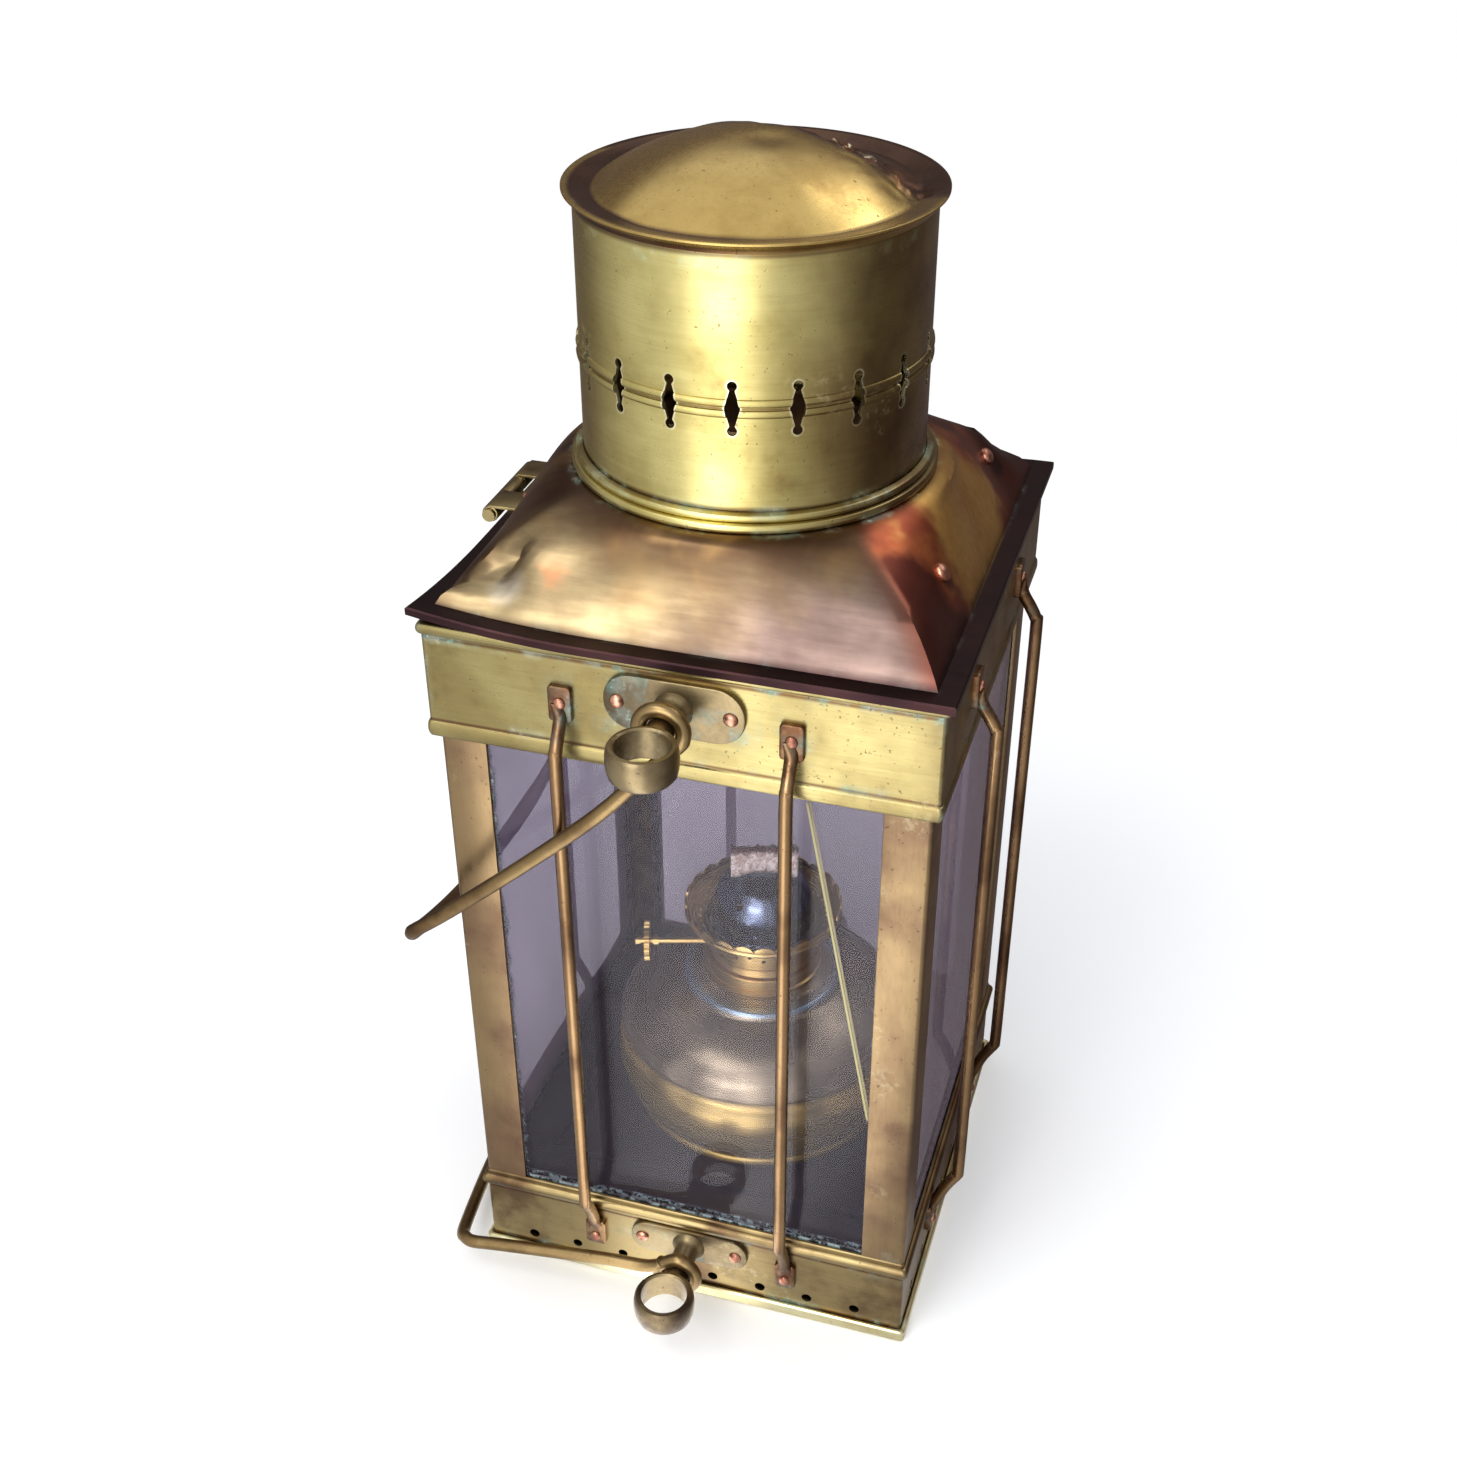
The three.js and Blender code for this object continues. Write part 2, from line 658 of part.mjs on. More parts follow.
function bodyLeaf() {
  const wall = -bandHalf - gap;
  const top = hingeZ;
  const turn = bandTop - topBeadHeight - 3;
  const outline = [
    [hingeX + 0.8, top], [hingeX + 0.8, turn], [wall - leafSheet, turn], [wall - leafSheet, turn - strapDrop],
    [wall, turn - strapDrop], [wall, turn + leafSheet], [hingeX + 0.8 + leafSheet, turn + leafSheet],
    [hingeX + 0.8 + leafSheet, top],
  ];
  const width = knuckleLength - gap;
  const strap = slab(outline, width).rotateX(quarter).translate(0, hingeY + width / 2, 0);
  return cut(joined(strap, knuckle(hingeY)), pinBore());
}

function hingePin() {
  const length = 3 * knuckleLength + 2 * gap;
  const parts = [rod(pinRadius, length, 12)];
  for (const side of [-1, 1]) parts.push(rod(2 * pinRadius, 1, 12).translate(0, side * (length / 2 + 0.5), 0));
  return joined(...parts).translate(hingeX, hingeY, hingeZ);
}

place('hinge_lid_leaf', lidLeaf(), brass);
place('hinge_body_leaf', bodyLeaf(), brass);
place('hinge_pin', hingePin(), brass);

// ---- Oil font ------------------------------------------------------------------------------------------

function oilFont() {
  const shift = (height) => height < fontBelly ? fontWall : -fontWall;
  const floor = fontOutline[3][1];
  const inner = fontOutline.slice(3, -1).map(([radius, height]) => [radius - fontWall, height + shift(height)]);
  return turned([
    [0, floor], [fontOutline[0][0], floor], ...fontOutline, [fontBore, fontHeight],
    [fontBore, fontHeight - fontWall], ...inner.reverse(), [0, floor + fontWall],
  ], turnedSides);
}

function ring(inner, outer, low, high, segments) {
  return turned(closedLoop([[inner, low], [outer, low], [outer, high], [inner, high]]), segments);
}

// A cup with a slotted floor for the wick tube and a hole for the winder shaft.
function burnerBody() {
  const inner = burnerRadius - burnerWall;
  const floor = burnerBottom + burnerWall;
  const cup = turned([
    [0, burnerBottom], [burnerRadius, burnerBottom], [burnerRadius, burnerTop], [inner, burnerTop],
    [inner, floor], [0, floor],
  ], turnedSides);
  const x = tubeHalfWidth + gap;
  const y = tubeHalfThick + gap;
  const slot = block(-x, x, -y, y, burnerBottom - 1, floor + 1);
  const hole = rod(shaftRadius + gap, 2 * burnerRadius, 10).rotateZ(quarter);
  return cut(cup, slot, hole.translate(-burnerRadius, shaftOffset, shaftHeight));
}

function gallery() {
  const geometry = turned(closedLoop([
    [burnerRadius - galleryLedge, burnerTop], [burnerRadius + 1, burnerTop], [burnerRadius + 2, burnerTop + 2],
    [galleryRadius, burnerTop + galleryRise], [galleryRadius - 0.6, burnerTop + galleryRise + 0.8],
    [burnerRadius + 0.8, burnerTop + 2.6], [burnerRadius - 0.6, burnerTop + ledgeSheet],
    [burnerRadius - galleryLedge, burnerTop + ledgeSheet],
  ]), 2 * galleryScallops);
  const position = geometry.getAttribute('position');
  for (let i = 0; i < position.count; i++) {
    const x = position.getX(i);
    const y = position.getY(i);
    if (Math.hypot(x, y) < galleryRadius - 1) continue;
    const wave = scallopDepth * Math.cos(galleryScallops * Math.atan2(y, x));
    position.setZ(i, position.getZ(i) + wave);
  }
  return geometry;
}

function deflectorDome() {
  const foot = burnerTop + ledgeSheet + gap;
  const spring = burnerTop + domeSkirt;
  const outer = [[domeRadius, foot]];
  const inner = [[domeRadius - domeSheet, foot]];
  for (let i = 0; i <= 5; i++) {
    const turn = quarter * i / 5;
    const across = i < 5 ? Math.cos(turn) : 0;
    outer.push([domeRadius * across, spring + domeRise * Math.sin(turn)]);
    inner.push([(domeRadius - domeSheet) * across, spring + (domeRise - domeSheet) * Math.sin(turn)]);
  }
  const x = wickWidth / 2 + 1.5;
  const y = wickThickness / 2 + 2.2;
  const slot = block(-x, x, -y, y, spring + domeRise / 3, spring + 2 * domeRise);
  return cut(turned([...inner.reverse(), ...outer], turnedSides), slot);
}

function wickTube() {
  const top = wickTop - tubeTopDrop;
  const bottom = top - tubeLength;
  const inX = tubeHalfWidth - tubeWall;
  const inY = tubeHalfThick - tubeWall;
  const tube = block(-tubeHalfWidth, tubeHalfWidth, -tubeHalfThick, tubeHalfThick, bottom, top);
  const bore = block(-inX, inX, -inY, inY, bottom - 1, top + 1);
  const windows = [-1, 1].map((side) => {
    const half = feedWheelWidth / 2 + 0.5;
    const middle = side * feedWheelSpacing;
    const tall = feedWheelRadius + 0.5;
    return block(middle - half, middle + half, -tubeHalfThick - 1, 0, shaftHeight - tall, shaftHeight + tall);
  });
  return cut(tube, bore, ...windows);
}

function wickShaft() {
  const along = (piece, x) => piece.rotateZ(quarter).translate(x, shaftOffset, shaftHeight);
  const middle = (shaftInner - shaftReach) / 2;
  const parts = [along(rod(shaftRadius, shaftInner + shaftReach, 10), middle)];
  for (const side of [-1, 1]) parts.push(along(rod(feedWheelRadius, feedWheelWidth, 14), side * feedWheelSpacing));
  return joined(...parts);
}

function thumbWheel() {
  const outline = [];
  for (let i = 0; i < 2 * thumbWheelTeeth; i++) {
    const turn = Math.PI * i / thumbWheelTeeth;
    const radius = i % 2 ? thumbWheelRadius : thumbWheelRadius - 1.1;
    outline.push([radius * Math.cos(turn), radius * Math.sin(turn)]);
  }
  const wheel = slab(outline, thumbWheelWidth).rotateY(quarter);
  const bore = rod(shaftRadius + gap, 4 * thumbWheelWidth, 10).rotateZ(quarter);
  return cut(wheel, bore).translate(-thumbWheelPlace - thumbWheelWidth, shaftOffset, shaftHeight);
}

const burner = new THREE.Group();
burner.position.x = fontX;
burner.rotation.z = wickTurn * degrees;
lantern.add(burner);
const font = place('oil_font', oilFont(), brass);
font.position.set(fontX, 0, fontFoot);
place('font_collar', ring(fontBore, collarOuter, collarBottom, burnerBottom, turnedSides), burnerBrass, burner);
place('burner_body', burnerBody(), burnerBrass, burner);
place('burner_gallery', gallery(), burnerBrass, burner);
place('deflector_dome', deflectorDome(), blueSteel, burner);
place('wick_tube', wickTube(), burnerBrass, burner);
place('wick_shaft', wickShaft(), burnerBrass, burner);
place('wick_wheel', thumbWheel(), burnerBrass, burner);
const wickX = wickWidth / 2;
const wickY = wickThickness / 2;
place('wick', block(-wickX, wickX, -wickY, wickY, wickTop - wickLength, wickTop), cotton, burner);

export default lantern;
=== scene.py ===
# %% [markdown]
# # A brass ship's lantern
# A square glazed case, a hinged roof with a round chimney, two wire bails, and an oil font with a
# flat-wick burner. The frame already holds every part at its place and size, so this lesson only gives
# the parts their fine shape and their finish: sheet brass that has aged, copper rivets and old glass.

# %% Load the frame
import bpy
import bmesh
import math
import random
from mathutils import Matrix, Quaternion, Vector, noise


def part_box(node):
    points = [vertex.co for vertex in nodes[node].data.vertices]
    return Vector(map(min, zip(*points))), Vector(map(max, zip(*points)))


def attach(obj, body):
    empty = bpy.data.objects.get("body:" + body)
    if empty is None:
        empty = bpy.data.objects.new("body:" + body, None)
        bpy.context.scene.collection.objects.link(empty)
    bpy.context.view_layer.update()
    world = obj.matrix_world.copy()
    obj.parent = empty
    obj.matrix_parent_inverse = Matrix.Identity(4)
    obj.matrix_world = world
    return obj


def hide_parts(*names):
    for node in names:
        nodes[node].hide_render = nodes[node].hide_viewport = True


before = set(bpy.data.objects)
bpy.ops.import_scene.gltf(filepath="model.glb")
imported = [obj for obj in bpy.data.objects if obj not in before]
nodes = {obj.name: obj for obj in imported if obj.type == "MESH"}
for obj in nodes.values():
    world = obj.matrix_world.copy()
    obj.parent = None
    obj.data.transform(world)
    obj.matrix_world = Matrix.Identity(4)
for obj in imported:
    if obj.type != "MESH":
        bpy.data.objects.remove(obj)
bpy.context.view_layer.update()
mm = 0.001
random.seed(7)


def span(node):
    """Lowest and highest corner of a node, in millimetres."""
    low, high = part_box(node)
    return Vector(low) / mm, Vector(high) / mm


# %% [markdown]
# ## Camera, light and floor
# The camera stands in front of the lantern, a little to its right, and looks down on it. Its place, its lens
# and its small shifts were found by fitting known corners of the case, so they are plain numbers here.

# %% Camera
eye = Vector((0.16425, -0.54891, 0.58307))
target = Vector((-0.0154, 0.0470, 0.1645))
camera_data = bpy.data.cameras.new("camera")
camera_data.sensor_width = 36
camera_data.lens = 46.55
camera_data.shift_x = -0.01528
camera_data.shift_y = 0.01664
camera = bpy.data.objects.new("camera", camera_data)
camera.location = eye
camera.rotation_mode = "QUATERNION"
roll = Quaternion((0, 0, 1), math.radians(0.12))
camera.rotation_quaternion = (target - eye).to_track_quat("-Z", "Y") @ roll
scene = bpy.context.scene
scene.collection.objects.link(camera)
scene.camera = camera
scene.view_settings.view_transform = "Standard"
print("camera stands", round((eye - target).length, 3), "m from its target")

# %% [markdown]
# Shader maths is easier to read as arithmetic. A `Signal` wraps one output socket, and adding or
# multiplying signals adds the Math nodes. A `Finish` is a material with a few ways to make signals.

# %% Signals and finishes


def add_node(tree, kind, settings=(), values=()):
    """Adds a shader node; values fill its inputs by order, or by key where they are a dict."""
    made = tree.nodes.new(kind)
    for name, value in dict(settings).items():
        setattr(made, name, value)
    for key, value in values.items() if isinstance(values, dict) else enumerate(values):
        value = value.socket if isinstance(value, Signal) else value
        if isinstance(value, bpy.types.NodeSocket):
            tree.links.new(value, made.inputs[key])
        else:
            made.inputs[key].default_value = value
    return made


class Signal:
    """One number that changes over the surface."""

    def __init__(self, finish, socket):
        self.finish = finish
        self.socket = socket

    def math(self, operation, *others):
        made = self.finish.node("ShaderNodeMath", {"operation": operation}, [self, *others])
        return Signal(self.finish, made.outputs[0])

    def __add__(self, other):
        return self.math("ADD", other)

    def __sub__(self, other):
        return self.math("SUBTRACT", other)

    def __rsub__(self, other):
        return self * -1 + other

    def __mul__(self, other):
        return self.math("MULTIPLY", other)

    def __truediv__(self, other):
        return self.math("DIVIDE", other)

    def __pow__(self, other):
        return self.math("POWER", other)

    def absolute(self):
        return self.math("ABSOLUTE")

    def largest(self, other):
        return self.math("MAXIMUM", other)

    def smallest(self, other):
        return self.math("MINIMUM", other)

    def between(self, low, high, to_low=0.0, to_high=1.0):
        """Rises smoothly from to_low to to_high while the signal goes from low to high."""
        settings = {"interpolation_type": "SMOOTHSTEP", "clamp": True}
        made = self.finish.node("ShaderNodeMapRange", settings, [self, low, high, to_low, to_high])
        return Signal(self.finish, made.outputs[0])

    def near(self, level, width):
        """One at the level, falling to nought at a width from it."""
        return (self - level).absolute().between(0.0, width, 1.0, 0.0)

    __radd__ = __add__
    __rmul__ = __mul__


def srgb(red, green, blue):
    """A colour as a paint chart gives it, 0 to 255, in the linear values that shaders use."""
    def linear(value):
        share = value / 255
        return share / 12.92 if share <= 0.04045 else ((share + 0.055) / 1.055) ** 2.4
    return (linear(red), linear(green), linear(blue), 1.0)


class Finish:
    """A procedural material on a Principled shader."""

    def __init__(self, name, roughness=0.4, metallic=0.0):
        self.material = bpy.data.materials.new(name)
        self.material.use_nodes = True
        self.tree = self.material.node_tree
        self.tree.nodes.clear()
        self.output = self.tree.nodes.new("ShaderNodeOutputMaterial")
        self.shader = self.tree.nodes.new("ShaderNodeBsdfPrincipled")
        self.shown_by(self.shader)
        self.set("Roughness", roughness)
        self.set("Metallic", metallic)
        self.place = self.node("ShaderNodeTexCoord").outputs["Object"]
        split = self.node("ShaderNodeSeparateXYZ", {}, [self.place])
        self.x, self.y, self.z = [Signal(self, socket) * 1000 for socket in split.outputs]

    def node(self, kind, settings=(), values=()):
        return add_node(self.tree, kind, settings, values)

    def shown_by(self, made):
        """Sends a shader node to the material's output, in place of the Principled shader."""
        self.tree.links.new(made.outputs[0], self.output.inputs[0])

    def set(self, name, value):
        """Sets an input of the Principled shader to a signal, a colour or a number."""
        value = value.socket if isinstance(value, Signal) else value
        if isinstance(value, bpy.types.NodeSocket):
            self.tree.links.new(value, self.shader.inputs[name])
        else:
            self.shader.inputs[name].default_value = value

    def noise(self, size, detail=3.0, roughness=0.5, stretch=(1, 1, 1), distortion=0.0):
        """Noise from 0 to 1 whose blots are about size millimetres wide."""
        vector = self.place
        if stretch != (1, 1, 1):
            multiply = {"operation": "MULTIPLY"}
            vector = self.node("ShaderNodeVectorMath", multiply, [self.place, stretch]).outputs[0]
        values = {"Vector": vector, "Scale": 1000 / size, "Detail": detail, "Roughness": roughness,
                  "Distortion": distortion}
        return Signal(self, self.node("ShaderNodeTexNoise", {}, values).outputs[0])

    def mix(self, factor, first, second):
        """A colour between two; inputs 6 and 7 and output 2 are the node's colour sockets."""
        return self.node("ShaderNodeMix", {"data_type": "RGBA"}, {0: factor, 6: first, 7: second}).outputs[2]

    def distance(self, point):
        """Distance from a point, in millimetres."""
        where = tuple(value * mm for value in point)
        made = self.node("ShaderNodeVectorMath", {"operation": "DISTANCE"}, [self.place, where])
        return Signal(self, made.outputs["Value"]) * 1000

    def radius(self):
        """Distance from the Z axis, in millimetres."""
        return (self.x * self.x + self.y * self.y) ** 0.5

    def bump(self, height, distance, strength=1.0):
        values = {"Strength": strength, "Distance": distance * mm, "Height": height}
        self.set("Normal", self.node("ShaderNodeBump", {}, values).outputs[0])


print("signals are ready")

# %% [markdown]
# One soft key lamp in front, a weaker one behind and a low one that reaches under the roof. The world is
# plain white to the camera, to reflections and through glass, and a little dimmer where it lights things.

# %% Lamps and world


def lamp(name, place, aim, size, power):
    """A square area lamp turned to a point."""
    data = bpy.data.lights.new(name, "AREA")
    data.size = size
    data.energy = power
    made = bpy.data.objects.new(name, data)
    made.location = place
    made.rotation_euler = (Vector(aim) - Vector(place)).to_track_quat("-Z", "Y").to_euler()
    scene.collection.objects.link(made)


middle = (0, 0, 0.2)
lamp("key", (-0.6, -1.1, 1.7), middle, 1.1, 16)
lamp("back", (0.7, 0.9, 1.4), middle, 0.8, 6)
lamp("fill", (-0.15, -1.1, 0.42), (0, 0, 0.12), 0.7, 6)

world = bpy.data.worlds.new("studio")
scene.world = world
world.use_nodes = True
tree = world.node_tree
tree.nodes.clear()
ray = add_node(tree, "ShaderNodeLightPath").outputs
either = {"operation": "MAXIMUM"}
in_view = add_node(tree, "ShaderNodeMath", either, [ray["Is Camera Ray"], ray["Is Glossy Ray"]])
in_view = add_node(tree, "ShaderNodeMath", either, [in_view.outputs[0], ray["Is Transmission Ray"]])
ambient = add_node(tree, "ShaderNodeBackground", {}, [(0.95, 0.97, 1, 1), 0.85])
white = add_node(tree, "ShaderNodeBackground", {}, [(1, 1, 1, 1)])
choose = add_node(tree, "ShaderNodeMixShader", {}, [part.outputs[0] for part in (in_view, ambient, white)])
add_node(tree, "ShaderNodeOutputWorld", {}, [choose.outputs[0]])
print("three lamps and a white world")

# %% [markdown]
# The floor is white and keeps the lantern's shadow. Far from the lantern it fades out, so that it meets the
# white of the world without an edge.

# %% Floor


def meshed(bm, name):
    """Turns a bmesh into a mesh and lets go of it."""
    mesh = bpy.data.meshes.new(name)
    bm.to_mesh(mesh)
    bm.free()
    return mesh


def staged(bm, name, finish):
    """Puts up a thing that belongs to the studio and not to the lantern."""
    mesh = meshed(bm, name)
    mesh.materials.append(finish.material)
    made = bpy.data.objects.new(name, mesh)
    scene.collection.objects.link(made)
    return made


floor_paint = Finish("floor white", roughness=0.9)
floor_paint.set("Base Color", (0.93, 0.93, 0.93, 1))
fade = floor_paint.radius().between(350, 900)
clear = floor_paint.node("ShaderNodeBsdfTransparent")
shaders = [floor_paint.shader.outputs[0], clear.outputs[0]]
floor_paint.shown_by(floor_paint.node("ShaderNodeMixShader", {}, [fade, *shaders]))
floor = bmesh.new()
just_below = Matrix.Translation((0, 0, -0.0002))
bmesh.ops.create_grid(floor, x_segments=1, y_segments=1, size=1.0, matrix=just_below)
staged(floor, "floor", floor_paint)
print("floor is down")

# %% [markdown]
# Polished metal shows its surroundings more than its own colour. Round the lantern stands a drum that only
# reflections can see, pale in front and dark brown behind, as a studio would hang cloths. It draws the soft
# brown edges down the sides of the chimney and the font, and the bright streak down their middle.

# %% Reflected room


def toward(finish, bearing):
    """Cosine of the angle, seen from above, between a point's bearing and a given one."""
    turn = math.radians(bearing)
    flat = finish.x * math.cos(turn) + finish.y * math.sin(turn)
    return flat / (finish.radius() + 1)


def only(kind, geom):
    """The verts, edges or faces among the parts that an operator gives back."""
    return [part for part in geom if isinstance(part, kind)]


room_radius, room_height = 1.1, 1.3
room = Finish("reflected room")
streak = toward(room, 267).between(0.90, 1.0) * 2.6
above = room.z.between(900, 1300)
light_share = toward(room, 262).between(-0.35, 0.9, 0.10, 0.92).largest(above * 0.9)
wall_colour = room.mix(light_share, srgb(70, 44, 34), (1, 1, 1, 1))
room.shown_by(room.node("ShaderNodeEmission", {}, {"Color": wall_colour, "Strength": 1 + streak}))
drum = bmesh.new()
bmesh.ops.create_circle(drum, cap_ends=True, segments=64, radius=room_radius)
rim = [edge for edge in drum.edges if edge.is_boundary]
wall = bmesh.ops.extrude_edge_only(drum, edges=rim)["geom"]
bmesh.ops.translate(drum, verts=only(bmesh.types.BMVert, wall), vec=(0, 0, room_height))
bmesh.ops.translate(drum, verts=drum.verts, vec=(0, 0, 0.0004))
reflected = staged(drum, "reflected_room", room)
for kind in ("camera", "diffuse", "transmission", "shadow", "volume_scatter"):
    setattr(reflected, "visible_" + kind, False)
print("only reflections see the room")

# %% [markdown]
# ## Finishes
# Old brass is one alloy in many states: rubbed bright where hands and cloths reach, olive and brown where
# they don't, and spotted with green verdigris where damp sits in a seam. Every brass here is built from
# those layers, with its own colours and its own damp places, and some also carry painted shade and glints.

# %% Aged brass


def damp(finish, mask, amount=0.75):
    """Verdigris where the mask is high: pale crumbs in a thin bluish bloom."""
    crumbs = finish.noise(2.2, 5, 0.7).between(0.48, 0.68)
    patches = finish.noise(13, 3, 0.6).between(0.47, 0.66)
    bloom = (mask * patches * 0.35).largest(mask * crumbs * patches)
    colour = finish.mix(finish.noise(6, 2, 0.5).between(0.4, 0.6), srgb(122, 178, 168), srgb(186, 204, 190))
    return bloom * amount, colour


def aged_brass(name, bright, olive, brown, browning=0.5, gloss=0.26, seams=None, grain=(0.12, 0.12, 3.0),
               shade_and_grime=None, rubbed=None):
    """Sheet brass. browning moves the balance from rubbed to brown, seams masks the damp places, grime masks
    where the metal goes deep brown, painted shade on the bands, the chimney and the cap and dirt on the rod
    tabs, rubbed masks pale metal, which on the cap is painted glints, and grain squeezes the brush marks along
    an axis."""
    finish = Finish(name, metallic=1.0)
    clouds = finish.noise(46, 3, 0.5, distortion=0.5)
    mottle = finish.noise(13, 4, 0.6)
    brushed = finish.noise(5, 4, 0.6, stretch=grain)
    fine = finish.noise(1.4, 3, 0.6, stretch=grain)
    colour = finish.mix((clouds * 0.7 + brushed * 0.12 + mottle * 0.18).between(0.40, 0.62), bright, olive)
    stain = (clouds * 0.55 + mottle * 0.45).between(0.60 - 0.16 * browning, 0.80 - 0.16 * browning)
    colour = finish.mix(stain * 0.85, colour, brown)
    colour = finish.mix(fine.between(0.45, 0.75) * 0.12, colour, brown)
    rough = clouds.between(0.35, 0.7, gloss - 0.03, gloss + 0.07) + fine.between(0.3, 0.7, 0.0, 0.06)
    # Deep brown where this mask is high: painted shade on the bands, the chimney and the cap, dirt on the rod
    # tabs.
    if shade_and_grime is not None:
        dark = shade_and_grime(finish)
        colour = finish.mix(dark, colour, finish.mix(mottle, srgb(98, 58, 40), srgb(50, 32, 28)))
    pits = finish.noise(1.3, 2, 0.5).between(0.68, 0.74)
    colour = finish.mix(pits * 0.5, colour, srgb(58, 42, 30))
    spots = finish.noise(31, 2, 0.5).between(0.64, 0.7) * finish.noise(3.1, 4, 0.7).between(0.5, 0.66)
    colour = finish.mix(spots * 0.2, colour, srgb(216, 206, 168))
    rough = rough + pits * 0.2 + spots * 0.15
    # Pale metal where this mask is high: round the chimney slots, and painted glints on the cap's torn ridges.
    if rubbed is not None:
        colour = finish.mix(rubbed(finish) * mottle.between(0.4, 0.6, 0.1, 0.75), colour, srgb(232, 226, 190))
    if seams is not None:
        green, tone = damp(finish, seams(finish))
        colour = finish.mix(green, colour, tone)
        rough = rough + green * 0.4
        finish.set("Metallic", 1 - green * 0.9)
    finish.set("Base Color", colour)
    finish.set("Roughness", rough)
    waves = finish.noise(34, 1, 0.4)
    height = waves * 0.26 + mottle * 0.015 + fine * 0.008 - pits * 0.03
    finish.bump(height, 1.0)
    return finish


print("aged brass can be mixed")

# %% [markdown]
# Damp and dirt sit where the metal is joined, folded or out of a cloth's reach. Each of these helpers gives a
# mask for one kind of place, measured from the parts themselves. Some of them also paint light into the colour:
# shade on the sides that face away, dark reflections and glints.

# %% Damp, dirt and painted light
band_low, band_high = span("top_band")
base_low, base_high = span("base_band")
ring_low, ring_high = span("chimney_ring")
tube_low, tube_high = span("chimney")
tube_radius = 56.3
swage = tube_low.z + 39.3
slot_count, slot_phase = 18, 9.7
slot_half, slot_end, slot_reach = 2.45, 1.55, 7.1
dome_foot = 50.5
tear_ends = ((14, 27, 414), (30, 14, 413))


def band_seams(finish):
    edges = finish.z.near(base_high.z - 8, 5).largest(finish.z.near(base_low.z + 4, 4))
    edges = edges.largest(finish.z.near(band_high.z - 5, 3)).largest(finish.z.near(band_low.z + 7, 3) * 0.6)
    by_tab = finish.x.absolute().near(38, 9).largest(finish.x.absolute().near(20, 12) * 0.8)
    at_tabs = by_tab * finish.z.near(band_high.z - 20, 16).largest(finish.z.near(24, 16))
    corner = finish.x.absolute().near(band_high.x, 5) * finish.y.absolute().near(band_high.y, 5)
    return edges.largest(at_tabs).largest(corner)


def chimney_seams(finish):
    foot = finish.z.near(ring_high.z, 3).largest(finish.z.near(ring_low.z, 3))
    return foot.largest(finish.z.near(tube_high.z - 3, 4) * 0.7)


def band_painted_shade(finish):
    """Painted shade where the bands face right and back, and darker in the crease beside each bead."""
    away = (finish.x - finish.y.absolute() * 0.9).between(-4, 14) * 0.45
    creases = finish.z.near(band_high.z - 5, 1.3).largest(finish.z.near(base_low.z + 4.6, 1.2))
    for level in (band_low.z + 6.4, base_high.z - 8):
        creases = creases.largest(finish.z.near(level, 1.0))
    return away.largest(creases * 0.8).largest(finish.y.between(60, 84) * 0.5)


def chimney_painted_shade(finish):
    """Painted brown shade down the right and left edges, patchy, and darker in the creases at the foot, the
    swage and under the cap.
    """
    right = toward(finish, 352).between(0.25, 1.0) * 0.8
    left = toward(finish, 172).between(0.45, 1.0) * 0.45
    creases = finish.z.near(tube_low.z + 6.4, 1.6).largest(finish.z.near(swage, 0.7))
    creases = creases.largest(finish.z.near(tube_high.z - 0.5, 1.6))
    patchy = finish.noise(30, 3, 0.6).between(0.3, 0.7, 0.7, 1.1)
    return (right.largest(left) * patchy).largest(creases * 0.75)


def punched_rim(finish):
    """Pale rubbed metal round each chimney slot: a diamond with a round end above and below."""
    step = 360 / slot_count
    turn = finish.y.math("ARCTAN2", finish.x) / math.radians(step)
    from_slot = (turn - (slot_phase - 90) / step + 0.5).math("FRACT") - 0.5
    beside = from_slot.absolute() * (math.radians(step) * tube_radius)
    over = (finish.z - swage).absolute()
    diamond = (beside + over * 0.285 - slot_half).largest(over - 6.6)
    tip = over - slot_reach
    round_end = (beside * beside + tip * tip) ** 0.5 - slot_end
    return diamond.smallest(round_end).between(0.2, 0.75, 1.0, 0.0)


def cap_painted_shade(finish):
    """Painted shade round the sunk rim, lightest towards the right, and a painted dark reflection over the
    back, where the dent is.
    """
    reach = finish.radius()
    sunk = reach.between(dome_foot - 1.2, dome_foot + 0.5) * reach.between(56.6, 58.4, 1.0, 0.0)
    rim = sunk * toward(finish, 345).between(0.2, 0.95, 0.96, 0.3)
    behind = toward(finish, 82) * reach * 0.036 + finish.noise(14, 2) * 0.3
    return rim.largest(behind.between(0.26, 0.62) * 0.95)


def tab_grime(finish):
    """Grey-brown on the hammered tabs, which no cloth gets under."""
    tabs = finish.z.between(252, 258).largest(finish.z.between(26, 32, 1.0, 0.0))
    return tabs * finish.noise(4, 3, 0.6).between(0.35, 0.6, 0.25, 0.75)


def cap_painted_glints(finish):
    """Painted glints on the ridges of the torn dent."""
    start, end = [finish.distance(point) for point in tear_ends]
    near = start.smallest(end)
    return near.between(5.0, 11.0, 1.0, 0.0) * finish.noise(4, 3, 0.6).between(0.5, 0.6)


print("chimney slots are", 360 / slot_count, "degrees apart")

# %% [markdown]
# The brass of each part has three colours, from rubbed to brown. Posts and rods were drawn lengthwise, so
# their brush marks run upright. The cap, the castings and the bails have none.

